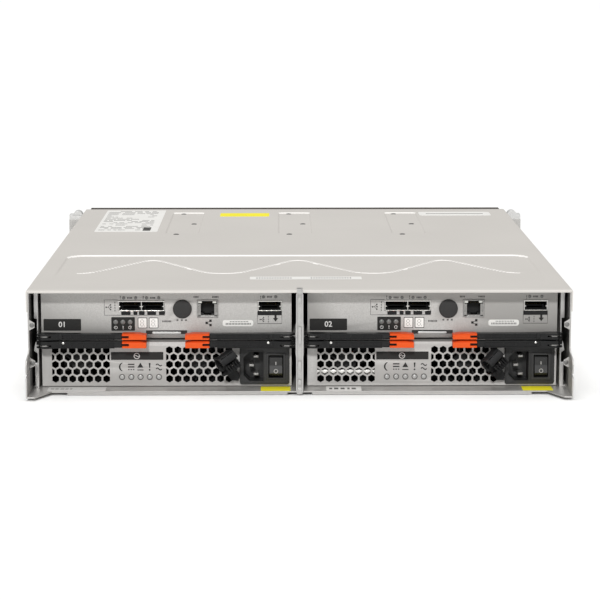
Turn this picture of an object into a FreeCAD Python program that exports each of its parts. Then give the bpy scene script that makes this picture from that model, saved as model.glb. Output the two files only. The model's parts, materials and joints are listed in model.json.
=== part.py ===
"""Disk shelf enclosure, two rack units high, seen and named from its rear.

Millimetres. +X is to the right when the rear is faced, +Y runs from the rear to the
drive fronts, +Z is up. The origin is at the middle of the footprint, on the floor.
"""
import FreeCAD, Part
import math
import os

V = FreeCAD.Vector
X_AXIS = V(1, 0, 0)
Y_AXIS = V(0, 1, 0)
Z_AXIS = V(0, 0, 1)

# ---- chassis -------------------------------------------------------------------
RACK_WIDTH = 482.6              # over both ears
EAR_REACH = 17.8                # each ear beyond the body
RACK_UNIT = 44.45
UNITS = 2
UNIT_RELIEF = 1.9               # the body is this much lower than its rack units
COVER_LENGTH = 540.0
DRIVE_FRONT_REACH = 20.0        # drive fronts stand this far before the cover
TAIL_REACH = 22.0               # corners of the tray reach this far behind the cover
SHEET = 1.2                     # chassis steel
FLOOR_LIFT = 1.8                # underside of the tray floor above the resting plane
SKIRT_HEIGHT = 18.0             # side skirt of the cover
TAIL_CORNER_WIDTH = 7.0
TAIL_SLOPE_WIDTH = 18.5
RUNNER_WIDTH = 12.0             # pressed beads that the shelf rests on
RUNNER_PLACE = 150.0
RUNNER_INSET = 40.0
HEM_START = 10.0                # rear hem of the floor, each side of the divider
HEM_INSET = 31.3                # its outer end from the tray wall
EMBOSS = 0.6                    # depth of every pressed form in the cover
GAP = 0.3                       # general clearance between pieces that slide

BODY_WIDTH = RACK_WIDTH - 2 * EAR_REACH
BODY_HEIGHT = UNITS * RACK_UNIT - UNIT_RELIEF
REAR = (TAIL_REACH - COVER_LENGTH - DRIVE_FRONT_REACH) / 2
FRONT = REAR + COVER_LENGTH
WALL_OUT = BODY_WIDTH / 2 - SHEET
WALL_IN = WALL_OUT - SHEET
FLOOR_TOP = FLOOR_LIFT + SHEET
COVER_UNDER = BODY_HEIGHT - SHEET
HEM_END = WALL_OUT - HEM_INSET

# ---- pressed forms of the cover ---------------------------------------------------
FIELD_INSET = 15.5              # from the side of the body
FIELD_START = 62.0              # distances from the rear edge of the cover
FIELD_END = 200.0
FIELD_CORNER = 16.0
WAVE_INSET = 13.45              # ends of the wavy bead from the sides of the field
WAVE_LOW = 96.0
WAVE_HIGH = 174.0
WAVE_WIDTH = 3.0
WAVE_COUNT = 3
WAVE_LOW_RADIUS = 23.0
WAVE_HIGH_RADIUS = 7.0
CHANNEL_WIDTH = 32.5
CHANNEL_SETBACK = 45.0          # channels begin this far beyond the midplane
CHANNEL_INSET = 30.0            # and end this far before the front edge
COVER_HEM = 0.8
HEM_RELIEF = 8.0

FIELD_HALF_WIDTH = BODY_WIDTH / 2 - FIELD_INSET
WAVE_PITCH = 2 * (FIELD_HALF_WIDTH - WAVE_INSET) / WAVE_COUNT

# ---- canister bays -----------------------------------------------------------------
FACE_RECESS = 20.0              # canister faces behind the rear edge of the cover
CANISTER_DEPTH = 270.0
FACE_LAP = 0.4                  # a face laps over its housing at each side
GUIDE_MARGIN = 2.6              # housing to guide
DIVIDER_MARGIN = 4.5            # housing to divider
PLATE = 1.0                     # canister steel
COVER_MARGIN = 1.5              # upper canister to cover
SHELF_RISE = 2.4                # shelf above the middle of the bay
SHELF_GAP = 0.4                 # upper canister above the shelf
SHELF_HEADROOM = 5.0            # lower canister below the shelf
GUIDE_STANDOFF = 5.5            # inner face of a guide from the tray wall
GUIDE_REAR = 16.0
GUIDE_LIP = 2.2
SHELF_REAR = 28.0
SHELF_LIP = 3.2
DIVIDER_HALF = 2.5
DIVIDER_BELLY = 3.4
DIVIDER_REAR = 2.0
STUD_RADIUS = 1.9
STUD_HEAD = 1.4
STUD_HEIGHTS = (26.8, 58.4)

FACE = REAR + FACE_RECESS
STUD_PLACE = WALL_IN - STUD_RADIUS - GAP
GUIDE_PLACE = WALL_IN - GUIDE_STANDOFF
HOUSING_WIDTH = GUIDE_PLACE - GUIDE_MARGIN - DIVIDER_MARGIN - DIVIDER_HALF
FACE_WIDTH = HOUSING_WIDTH + 2 * FACE_LAP
EDGE = HOUSING_WIDTH / 2
MODULE_PITCH = 2 * (GUIDE_PLACE - GUIDE_MARGIN - EDGE)
SHELF_TOP = (FLOOR_TOP + COVER_UNDER) / 2 + SHELF_RISE
ESM_FLOOR = SHELF_TOP + SHELF_GAP
ESM_TOP = COVER_UNDER - COVER_MARGIN
PSU_FLOOR = FLOOR_TOP + GAP
PSU_FACE_FOOT = PSU_FLOOR + GAP
PSU_TOP = SHELF_TOP - SHEET - SHELF_HEADROOM

# ---- levers and latches ------------------------------------------------------------
PIVOT_INSET = 3.9               # from the side of a canister face
PIVOT_REACH = 11.0              # behind the canister face
PIN_RADIUS = 1.5
PIN_CLEARANCE = 0.05
FORK_RADIUS = 5.5
TAB_RADIUS = 4.0
CAM_REACH = 6.8
LATCH_PLACE = 35.8              # outer end of the latch, from the middle of a canister
LATCH_LENGTH = 19.8
LATCH_DEPTH = 9.8
LATCH_SLOT = 5.6
TONGUE_LENGTH = 13.0
TONGUE_DEPTH = 4.0
TONGUE_HEIGHT = 1.8
ARM_DEPTH = 7.0
FIT = 0.15                      # latch on its tongue
CATCH_WIDTH = 8.0
CATCH_REACH = 4.0
CATCH_HEIGHT = 1.4
SLOT_CLEARANCE = 0.2
ESM_LEVER_DROP = 2.2            # lever's underside below the canister's floor
ESM_LEVER_HEIGHT = 5.0
PSU_LEVER_DROP = 2.6            # lever's underside below the canister's top
PSU_LEVER_HEIGHT = 5.8

PIVOT_PLACE = FACE_WIDTH / 2 - PIVOT_INSET
PIVOT_Y = FACE - PIVOT_REACH
ESM_LEVER_FOOT = ESM_FLOOR - ESM_LEVER_DROP
PSU_LEVER_FOOT = PSU_TOP - PSU_LEVER_DROP

# ---- power canister ----------------------------------------------------------------
HEX_FLATS = 5.55
HEX_PITCH = 7.05
HEX_ROW_PITCH = 6.075
HEX_MARGIN = 3.0                # least plain face above and below the holes
HEX_DROP = 0.3                  # grille's middle below the fans'
HOLE_COUNTS = (7, 8)            # holes in the first row of each grille
FAN_INSETS = (31.7, 76.2)       # fans from the left and the right of the housing
FAN_TIP_GAP = 0.6
FAN_HUB = 8.5
FAN_DEPTH = 22.0
FAN_BLADES = 7
FAN_START = 5.0                 # behind the inner side of the face
FAN_WALL = 0.95
FAN_SHAFT = 1.5
BLADE_PITCH = 24.0
BLADE_HALF = 0.7                # half of a blade's thickness along the rim
INLET_INSET = 42.6              # its left side from the right of the housing
INLET_WIDTH = 41.2
INLET_RISE = 1.5                # above the foot of the face
INLET_DROP = 3.6                # below the top of the face
INLET_RADIUS = 2.0
INLET_BEZEL = 2.0
INLET_BODY_DEPTH = 26.0
SOCKET_INSET = 3.2
SOCKET_WIDTH = 16.5
SOCKET_RISE = 2.9
SOCKET_DROP = 4.4
SOCKET_DEPTH = 17.0
SOCKET_CHAMFER = 5.0
BLADE_LENGTH = 12.5
BLADE_THICKNESS = 2.0
BLADE_WIDTH = 4.0
BLADE_SPREAD = 7.5
LINE_INSET = 10.3               # line and neutral from the left of the socket
EARTH_INSET = 6.5
SWITCH_INSET = 22.1
SWITCH_WIDTH = 15.8
SWITCH_RISE = 4.1
SWITCH_DROP = 5.9
SWITCH_SIDE_RIM = 1.8
SWITCH_END_RIM = 1.4
SWITCH_PROUD = 0.8
SWITCH_DEPTH = 14.0
ROCKER_CLEARANCE = 0.75
ROCKER_DEPTH = 4.6              # pivot behind the mouth
ROCKER_PIN = 1.2
ROCKER_TILT = -9.0              # at rest, top pressed in
CLIP_INSET = 3.1                # anchor left of the inlet
CLIP_RISE = 8.4                 # anchor above the foot of the face
CLIP_LEAN = 6.1                 # ring left of its anchor
CLIP_DROP = 10.4                # ring's middle below the lever
CLIP_TILT = 32.0
CLIP_LENGTH = 13.0
CLIP_RADIUS = 7.3
CLIP_BORE = 6.0
CLIP_REACH = 10.5
CLIP_FOOT_RADIUS = 2.8
CLIP_STUD = 1.9
CLIP_FOOT_DEPTH = 1.9
STRAP = 1.6

FAN_MIDDLE = (PSU_FLOOR + PSU_TOP) / 2
FAN_RADIUS = (PSU_TOP - PSU_FLOOR) / 2 - PLATE - FAN_WALL - FAN_TIP_GAP
FAN_PLACES = (FAN_INSETS[0] - EDGE, EDGE - FAN_INSETS[1])
HEX_CORNER = HEX_FLATS / math.sqrt(3)
HEX_ROWS = int((PSU_TOP - PSU_FLOOR - 2 * HEX_MARGIN - 2 * HEX_CORNER) / HEX_ROW_PITCH) + 1
HEX_LOW_ROW = FAN_MIDDLE - HEX_DROP - (HEX_ROWS - 1) / 2 * HEX_ROW_PITCH
INLET_LEFT = EDGE - INLET_INSET
INLET_FOOT = PSU_FACE_FOOT + INLET_RISE
INLET_HEIGHT = PSU_TOP - INLET_DROP - INLET_FOOT
SOCKET_LEFT = INLET_LEFT + SOCKET_INSET
SOCKET_FOOT = INLET_FOOT + SOCKET_RISE
SOCKET_HEIGHT = INLET_HEIGHT - SOCKET_RISE - SOCKET_DROP
SOCKET_MIDDLE = SOCKET_FOOT + SOCKET_HEIGHT / 2
BLADES = ((SOCKET_LEFT + LINE_INSET, SOCKET_MIDDLE + BLADE_SPREAD),
          (SOCKET_LEFT + EARTH_INSET, SOCKET_MIDDLE),
          (SOCKET_LEFT + LINE_INSET, SOCKET_MIDDLE - BLADE_SPREAD))
SWITCH_LEFT = INLET_LEFT + SWITCH_INSET
SWITCH_FOOT = INLET_FOOT + SWITCH_RISE
SWITCH_HEIGHT = INLET_HEIGHT - SWITCH_RISE - SWITCH_DROP
ROCKER_WIDTH = SWITCH_WIDTH - 2 * SWITCH_SIDE_RIM - 2 * ROCKER_CLEARANCE
ROCKER_RADIUS = SWITCH_HEIGHT / 2 - SWITCH_END_RIM - ROCKER_CLEARANCE
CLIP_ANCHOR = (INLET_LEFT - CLIP_INSET, PSU_FACE_FOOT + CLIP_RISE)
CLIP_CENTRE = (CLIP_ANCHOR[0] - CLIP_LEAN, PSU_LEVER_FOOT - CLIP_DROP)

# ---- ports of the upper canister -----------------------------------------------------
SAS_DROP = 17.6                 # feet of the ports below the canister's top
SAS_HEIGHT = 8.3
SAS_PAIR_LEFT = -39.5
SAS_PAIR_WIDTH = 37.9
SAS_SINGLE_INSET = 27.3         # from the right of the housing
SAS_SINGLE_WIDTH = 19.5
SAS_WALL = 0.6
SAS_DEPTH = 24.0
SAS_PROUD = 0.8
RJ_LEFT = 25.5
RJ_WIDTH = 17.1
RJ_DROP = 23.1
RJ_HEIGHT = 14.7
RJ_DEPTH = 18.0
RJ_CAVITY_WIDTH = 12.0
RJ_CAVITY_HEIGHT = 7.4
RJ_CAVITY_FOOT = 3.6
RJ_NOTCH_WIDTH = 6.4
RJ_NOTCH_DEPTH = 2.2
PLUG_LEFT = 13.2
PLUG_DROP = 16.0
PLUG_RADIUS = 7.8
DIGIT_LEFTS = (-23.4, -14.2)
DIGIT_WIDTH = 7.2
DIGIT_RISE = 5.3                # above the canister's floor
DIGIT_HEIGHT = 8.4
DIGIT_DEPTH = 4.0
PORT_FIT = 0.2
BOARD_THICKNESS = 1.6
CONTACT_INSET = 38.0            # plug for the midplane, from the right of the housing
CONTACT_HALF_WIDTH = 14.0
CONTACT_HEIGHT = 4.2
CONTACT_DEPTH = 16.0
SINK_PLACE = 110.0
SINK_LENGTH = 50.0
SINK_HALF_WIDTH = 30.0
SINK_HEIGHT = 14.0

SAS_FOOT = ESM_TOP - SAS_DROP
SAS_SINGLE_LEFT = EDGE - SAS_SINGLE_INSET
RJ_FOOT = ESM_TOP - RJ_DROP
PLUG_PLACE = (PLUG_LEFT, ESM_TOP - PLUG_DROP)
DIGIT_FOOT = ESM_FLOOR + DIGIT_RISE
BOARD_FOOT = RJ_FOOT - BOARD_THICKNESS
CONTACT_PLACE = EDGE - CONTACT_INSET

# ---- drive end ----------------------------------------------------------------------
MIDPLANE_STANDOFF = 12.0        # behind the canisters
MIDPLANE_THICKNESS = 2.4
MIDPLANE_MARGIN = 1.0
COLUMNS = 4
ROWS = 3
CAGE_FIT = 0.1
CAGE_SETBACK = 2.0
RAIL_WIDTH = 5.0
RAIL = 1.0
CARRIER_GAP = 0.4
DRIVE_SIDE = 4.3                # from the side of a drive to the middle of a cage wall
DRIVE_LENGTH = 147.0
DRIVE_RELIEF = 2.0              # a drive is this much lower than its row
BEZEL_DEPTH = 13.0
SLED_WALL = 1.6
SLED_HEIGHT = 12.0
CONNECTOR_REACH = 8.0
GRIP_HEIGHT = 8.0
SLOT_INSET = 22.0               # plain end of the front, where its lights are
SLOT_HEIGHT = 4.5
SCREW_RADIUS = 2.8
SCREW_HEAD = 0.8
SCREW_OFFSET = 7.0
SCREW_SETBACK = 8.0             # rear screws before their channel
SCREW_INSET = 6.0               # front screws inside their channel
SCREW_SHIFT = 1.5               # middle screws beyond the middle of the others

MIDPLANE_PLACE = FACE_RECESS + CANISTER_DEPTH + MIDPLANE_STANDOFF
MIDPLANE = REAR + MIDPLANE_PLACE
CHANNEL_START = MIDPLANE_PLACE + CHANNEL_SETBACK
CHANNEL_END = COVER_LENGTH - CHANNEL_INSET
SCREW_FIRST = CHANNEL_START - SCREW_SETBACK
SCREW_LAST = CHANNEL_END - SCREW_INSET
SCREW_ROWS = (SCREW_FIRST, (SCREW_FIRST + SCREW_LAST) / 2 + SCREW_SHIFT, SCREW_LAST)
COLUMN_PITCH = 2 * (WALL_IN - CAGE_FIT - SHEET / 2) / COLUMNS
CAGE_REAR = MIDPLANE + MIDPLANE_THICKNESS
CAGE_FRONT = FRONT - CAGE_SETBACK
CAGE_TOP = COVER_UNDER - EMBOSS
ROW_PITCH = (CAGE_TOP - FLOOR_TOP) / ROWS
DRIVE_WIDTH = COLUMN_PITCH - 2 * DRIVE_SIDE
DRIVE_HEIGHT = ROW_PITCH - DRIVE_RELIEF

# ---- rack ears ------------------------------------------------------------------------
EAR_HOLE_INSET = 8.75           # middle of a slot from the end of the ear
EAR_SLOT_RADIUS = 3.4
EAR_SLOT_LENGTH = 10.0
EAR_THICKNESS = 2.0
EAR_DROP = 11.0                 # top of the ear below the cover
EAR_FLANGE_LENGTH = 70.0
CAP_DROP = 6.0
CAP_CROWN = 3.8
CAP_CROWN_HALF_WIDTH = 5.0
CAP_DEPTH = 14.0
CAP_WINDOW = 14.0

EAR_HOLE_SPACING = RACK_WIDTH - 2 * EAR_HOLE_INSET
EAR_HOLE_RISE = RACK_UNIT
EAR_HOLE_LOW = RACK_UNIT / 2
EAR_TOP = BODY_HEIGHT - EAR_DROP
CAP_TOP = BODY_HEIGHT - CAP_DROP


# ---- helpers ----------------------------------------------------------------------------
def box(x0, x1, y0, y1, z0, z1):
    """A block between two corners."""
    return Part.makeBox(x1 - x0, y1 - y0, z1 - z0, V(x0, y0, z0))


def prism(points, travel):
    """A polygon pushed along a vector."""
    wire = Part.makePolygon(points + [points[0]])
    return Part.Face(wire).extrude(travel)


def prism_z(outline, z0, z1):
    return prism([V(x, y, z0) for x, y in outline], V(0, 0, z1 - z0))


def prism_y(outline, y0, y1):
    return prism([V(x, y0, z) for x, z in outline], V(0, y1 - y0, 0))


def prism_x(outline, x0, x1):
    return prism([V(x0, y, z) for y, z in outline], V(x1 - x0, 0, 0))


def rod_y(x, z, radius, y0, y1):
    return Part.makeCylinder(radius, y1 - y0, V(x, y0, z), Y_AXIS)


def rod_z(x, y, radius, z0, z1):
    return Part.makeCylinder(radius, z1 - z0, V(x, y, z0), Z_AXIS)


def rod_x(y, z, radius, x0, x1):
    return Part.makeCylinder(radius, x1 - x0, V(x0, y, z), X_AXIS)


def ring_points(x, y, radius, sides=8):
    """Corners of a regular outline about a centre, with a flat on each axis."""
    corner = radius / math.cos(math.pi / sides)
    turns = [math.pi * (2 * side + 1) / sides for side in range(sides)]
    return [(x + corner * math.cos(turn), y + corner * math.sin(turn)) for turn in turns]


def fuse(shapes):
    return shapes[0].multiFuse(shapes[1:]).removeSplitter()


def mirrored(shape):
    return shape.mirror(V(0, 0, 0), X_AXIS)


def both_sides(shape):
    return [shape, mirrored(shape)]


def moved(shape, x):
    copy = shape.copy()
    copy.translate(V(x, 0, 0))
    return copy


def save(name, solids):
    Part.makeCompound(solids).exportStep("parts/" + name + ".step")


# ---- chassis -------------------------------------------------------------------------------
def make_tray():
    """Folded tray: floor with swept rear corners, side walls with rear tabs, hems, runners."""
    corner = WALL_OUT - TAIL_CORNER_WIDTH
    slope = WALL_OUT - TAIL_SLOPE_WIDTH
    tail = REAR - TAIL_REACH
    right = [(0, REAR), (slope, REAR), (corner, tail), (WALL_OUT, tail), (WALL_OUT, FRONT), (0, FRONT)]
    left = [(-x, y) for x, y in reversed(right[1:-1])]
    floor = prism_z(right + left, FLOOR_LIFT, FLOOR_TOP)
    tab_low = 24.0
    tab_high = 34.0
    notch_foot = 18.5
    notch_y = REAR + 4.0
    side = [
        (tail, FLOOR_LIFT), (tail, notch_foot), (notch_y, tab_low - SHEET), (notch_y, tab_low),
        (tail + 2.0, tab_low - 3.0), (tail, tab_low), (tail, tab_high - 5.0), (tail + 3.0, tab_high - 1.5),
        (REAR - 5.0, tab_high + 1.5), (REAR, tab_high + 5.0), (REAR, COVER_UNDER),
        (FRONT, COVER_UNDER), (FRONT, FLOOR_LIFT),
    ]
    wall = prism_x(side, WALL_IN, WALL_OUT)
    pieces = [floor] + both_sides(wall)
    hem = box(HEM_START, HEM_END, REAR, REAR + SHEET, 0, FLOOR_LIFT)
    runner = box(RUNNER_PLACE - RUNNER_WIDTH / 2, RUNNER_PLACE + RUNNER_WIDTH / 2,
                 REAR + RUNNER_INSET, FRONT - RUNNER_INSET, 0, FLOOR_LIFT)
    front_hem = box(HEM_START, HEM_END, FRONT - SHEET, FRONT, 0, FLOOR_LIFT)
    for piece in (hem, runner, front_hem):
        pieces += both_sides(piece)
    for height in STUD_HEIGHTS:
        tab = [(WALL_IN, height - 4.4), (WALL_IN, height + 4.6), (STUD_PLACE - 2.2, height + 1.8),
               (STUD_PLACE - 2.2, height - 2.0)]
        pieces += both_sides(prism_y(tab, REAR, REAR + SHEET))
    return [fuse(pieces)]


def wave_outline(half_width):
    """Centre line of the wavy bead as arcs and straight flanks, offset to both sides."""
    start = -WAVE_COUNT * WAVE_PITCH / 2
    rise = WAVE_HIGH - WAVE_LOW
    run = WAVE_PITCH / 2
    radii = (WAVE_LOW_RADIUS, WAVE_HIGH_RADIUS)
    # The flank is the common tangent of a trough arc and a crest arc.
    centre_gap = math.hypot(run, rise - sum(radii))
    lean = math.atan2(rise - sum(radii), run)
    slope = lean + math.asin(sum(radii) / centre_gap)
    sides = []
    for sign in (1, -1):
        edges = []
        last = None
        for index in range(2 * WAVE_COUNT + 1):
            crest = index % 2
            middle = start + index * run
            radius = radii[crest] + (-sign if crest == 0 else sign) * half_width
            centre_y = REAR + (WAVE_HIGH - radii[1] if crest else WAVE_LOW + radii[0])
            up = 1 if crest else -1
            reach = radius * math.sin(slope)
            drop = radius * math.cos(slope)
            first = V(middle - reach, centre_y + up * drop, 0)
            top = V(middle, centre_y + up * radius, 0)
            end = V(middle + reach, centre_y + up * drop, 0)
            if last is not None:
                edges.append(Part.makeLine(last, first))
            edges.append(Part.Arc(first, top, end).toShape())
            last = end
        sides.append(edges)
    starts = [side[0].Vertexes[0].Point for side in sides]
    ends = [side[-1].Vertexes[-1].Point for side in sides]
    loop = sides[0] + sides[1]
    loop.append(Part.makeLine(starts[0], starts[1]))
    loop.append(Part.makeLine(ends[0], ends[1]))
    return Part.Face(Part.Wire(Part.__sortEdges__(loop)))


def pressed_faces():
    """Plan outlines of the pressed forms: the rear field and three channels over the cage."""
    corner = FIELD_CORNER
    half = FIELD_HALF_WIDTH
    y0 = REAR + FIELD_START
    y1 = REAR + FIELD_END
    bend = corner * (1 - math.sqrt(0.5))
    edges = [
        Part.makeLine(V(-half, y0, 0), V(-half, y1 - corner, 0)),
        Part.Arc(V(-half, y1 - corner, 0), V(-half + bend, y1 - bend, 0), V(-half + corner, y1, 0)).toShape(),
        Part.makeLine(V(-half + corner, y1, 0), V(half - corner, y1, 0)),
        Part.Arc(V(half - corner, y1, 0), V(half - bend, y1 - bend, 0), V(half, y1 - corner, 0)).toShape(),
        Part.makeLine(V(half, y1 - corner, 0), V(half, y0, 0)),
        Part.makeLine(V(half, y0, 0), V(-half, y0, 0)),
    ]
    faces = [Part.Face(Part.Wire(edges))]
    for column in range(1, COLUMNS):
        middle = (column - COLUMNS / 2) * COLUMN_PITCH
        points = [(middle - CHANNEL_WIDTH / 2, REAR + CHANNEL_START), (middle + CHANNEL_WIDTH / 2, REAR + CHANNEL_START),
                  (middle + CHANNEL_WIDTH / 2, REAR + CHANNEL_END), (middle - CHANNEL_WIDTH / 2, REAR + CHANNEL_END)]
        corners = [V(x, y, 0) for x, y in points]
        faces.append(Part.Face(Part.makePolygon(corners + corners[:1])))
    return faces


def screw_places():
    """Screws of the cover: plan place and the height of the sheet under the head."""
    places = []
    for column in range(1, COLUMNS):
        middle = (column - COLUMNS / 2) * COLUMN_PITCH
        for row, along in enumerate(SCREW_ROWS):
            x = middle + (SCREW_OFFSET if row == 1 else -SCREW_OFFSET)
            pressed = CHANNEL_START < along < CHANNEL_END
            places.append((x, REAR + along, BODY_HEIGHT - (EMBOSS if pressed else 0)))
    return places


def make_cover():
    """Top sheet with pressed field, wavy bead and channels, side skirts and a rear hem."""
    half = BODY_WIDTH / 2
    sheet = box(-half, half, REAR, FRONT, COVER_UNDER, BODY_HEIGHT)
    skirt = box(WALL_OUT, half, REAR, FRONT - 3.0, BODY_HEIGHT - SKIRT_HEIGHT, COVER_UNDER)
    hem = box(HEM_RELIEF, WALL_IN, REAR, REAR + SHEET, COVER_UNDER - COVER_HEM, COVER_UNDER)
    body = fuse([sheet] + both_sides(skirt) + both_sides(hem))
    cuts = []
    backs = []
    for face in pressed_faces():
        top = face.copy()
        top.translate(V(0, 0, BODY_HEIGHT - EMBOSS))
        cuts.append(top.extrude(V(0, 0, 2 * EMBOSS)))
        under = face.copy()
        under.translate(V(0, 0, COVER_UNDER - EMBOSS))
        backs.append(under.extrude(V(0, 0, EMBOSS)))
    body = fuse([body] + backs)
    wave = wave_outline(WAVE_WIDTH / 2)
    wave.translate(V(0, 0, BODY_HEIGHT - 1.5 * EMBOSS))
    cuts.append(wave.extrude(V(0, 0, EMBOSS)))
    return [body.cut(Part.makeCompound(cuts))]


def make_divider():
    """Folded post between the bays, hooked over the cover and the tray at its rear."""
    top = CAGE_TOP
    y0 = REAR + DIVIDER_REAR
    belly = [(DIVIDER_HALF, FLOOR_TOP), (DIVIDER_HALF, 27.0), (DIVIDER_BELLY, 34.0), (DIVIDER_BELLY, 58.0),
             (DIVIDER_HALF, 62.0), (DIVIDER_HALF, top)]
    web = prism_y(belly + [(-x, z) for x, z in reversed(belly)], y0, y0 + SHEET)
    cheek = box(DIVIDER_HALF - SHEET, DIVIDER_HALF, y0, MIDPLANE, FLOOR_TOP, top)
    hook_half = DIVIDER_HALF - 0.1
    lip = REAR - SHEET
    upper = [(y0 + SHEET, top - SHEET), (y0 + SHEET, top), (REAR, top), (REAR, BODY_HEIGHT),
             (REAR + 7.0, BODY_HEIGHT), (REAR + 7.0, BODY_HEIGHT + SHEET), (lip, BODY_HEIGHT + SHEET),
             (lip, top - SHEET)]
    lower = [(y0 + SHEET, FLOOR_TOP), (y0 + SHEET, FLOOR_TOP + SHEET), (lip, FLOOR_TOP + SHEET),
             (lip, 0.6), (REAR, 0.6), (REAR, FLOOR_TOP)]
    hooks = [prism_x(outline, -hook_half, hook_half) for outline in (upper, lower)]
    return [fuse([web] + both_sides(cheek) + hooks)]


def make_guides():
    """Upright guides outside the bays, with turned rear lips, a bulge and a foot."""
    x0 = GUIDE_PLACE
    x1 = GUIDE_PLACE + SHEET
    y0 = REAR + GUIDE_REAR
    top = CAGE_TOP
    wall = box(x0, x1, y0, MIDPLANE, FLOOR_TOP, top)
    lip_end = x1 + GUIDE_LIP
    lips = [box(x0, lip_end, y0, y0 + SHEET, low, high) for low, high in ((FLOOR_TOP, 24.0), (61.0, top))]
    bulge = [(x1, 32.0), (lip_end + 0.6, 34.0), (lip_end, 38.0), (lip_end - 0.8, 41.0), (x1, 43.0)]
    lips.append(prism_y(bulge, y0, y0 + SHEET))
    foot = box(x1, WALL_IN, y0 + 2.0, MIDPLANE - 2.0, FLOOR_TOP, FLOOR_TOP + SHEET)
    return both_sides(fuse([wall, foot] + lips))


def make_shelf():
    """Sheet under each upper canister, with a turned rear lip."""
    y0 = REAR + SHELF_REAR
    y1 = FACE + CANISTER_DEPTH
    low = SHELF_TOP - SHEET
    plate = box(DIVIDER_HALF, GUIDE_PLACE, y0, y1, low, SHELF_TOP)
    lip = box(DIVIDER_HALF, GUIDE_PLACE, y0, y0 + SHEET, low - SHELF_LIP, low)
    return both_sides(fuse([plate, lip]))


def make_cage():
    """Upright walls between the drive columns, with rails for each row and a top flange."""
    walls = []
    for line in range(COLUMNS + 1):
        middle = (line - COLUMNS / 2) * COLUMN_PITCH
        left = line > 0
        right = line < COLUMNS
        wall = box(middle - SHEET / 2, middle + SHEET / 2, CAGE_REAR, CAGE_FRONT, FLOOR_TOP, CAGE_TOP)
        pieces = [wall]
        x0 = middle - (SHEET / 2 + RAIL_WIDTH if left else 0)
        x1 = middle + (SHEET / 2 + RAIL_WIDTH if right else 0)
        for row in range(ROWS):
            z = FLOOR_TOP + row * ROW_PITCH
            pieces.append(box(x0, x1, CAGE_REAR, CAGE_FRONT, z, z + RAIL))
        body = fuse(pieces)
        if left and right:
            flange = box(middle - CHANNEL_WIDTH / 2 + 2.0, middle + CHANNEL_WIDTH / 2 - 2.0,
                         REAR + SCREW_FIRST - 8.0, REAR + SCREW_LAST + 8.0, CAGE_TOP - RAIL / 2, CAGE_TOP)
            body = fuse([body, flange])
        walls.append(body)
    return walls


def column_middle(column):
    return (column - (COLUMNS - 1) / 2) * COLUMN_PITCH


def row_foot(row):
    return FLOOR_TOP + row * ROW_PITCH + RAIL + GAP / 2


def make_midplane():
    """Board between drives and canisters, with cooling windows and its connectors."""
    half = GUIDE_PLACE - 2.0
    board = box(-half, half, MIDPLANE, CAGE_REAR, FLOOR_TOP + MIDPLANE_MARGIN, CAGE_TOP - MIDPLANE_MARGIN)
    windows = []
    connectors = []
    for column in range(COLUMNS):
        x = column_middle(column)
        for row in range(ROWS):
            z = row_foot(row)
            windows.append(box(x - 44.0, x - 4.0, MIDPLANE - 1.0, CAGE_REAR + 1.0, z + 4.0, z + 19.0))
            connectors.append(box(x + 2.0, x + 42.0, CAGE_REAR, CAGE_REAR + CONNECTOR_REACH, z + 3.0, z + 9.0))
    reach = CONTACT_HALF_WIDTH + 1.0
    for side in (-1, 1):
        x = side * MODULE_PITCH / 2 + CONTACT_PLACE
        for foot in (PSU_FLOOR + 8.0, BOARD_FOOT - CONTACT_HEIGHT):
            connectors.append(box(x - reach, x + reach, FACE + CANISTER_DEPTH + GAP, MIDPLANE, foot, foot + 9.0))
    return [board.cut(Part.makeCompound(windows))] + connectors


def slot_z(x, z, radius, length, y0, y1):
    """Slot through a plate along Y, its long way along X."""
    half = length / 2 - radius
    middle = box(x - half, x + half, y0, y1, z - radius, z + radius)
    return fuse([middle, rod_y(x - half, z, radius, y0, y1), rod_y(x + half, z, radius, y0, y1)])


def ear_slots(depth_from, depth_to, radius, length):
    x = EAR_HOLE_SPACING / 2
    heights = (EAR_HOLE_LOW, EAR_HOLE_LOW + EAR_HOLE_RISE)
    return [slot_z(x, z, radius, length, depth_from, depth_to) for z in heights]


def make_ears():
    """Angle brackets with the rack's slotted holes."""
    side = box(WALL_OUT, BODY_WIDTH / 2, FRONT - EAR_FLANGE_LENGTH, FRONT, FLOOR_TOP, BODY_HEIGHT - SKIRT_HEIGHT)
    plate = box(BODY_WIDTH / 2, RACK_WIDTH / 2, FRONT - EAR_THICKNESS, FRONT, FLOOR_LIFT, EAR_TOP)
    ear = fuse([side, plate]).cut(Part.makeCompound(ear_slots(FRONT - 10.0, FRONT + 1.0, EAR_SLOT_RADIUS, EAR_SLOT_LENGTH)))
    return both_sides(ear)


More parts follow.
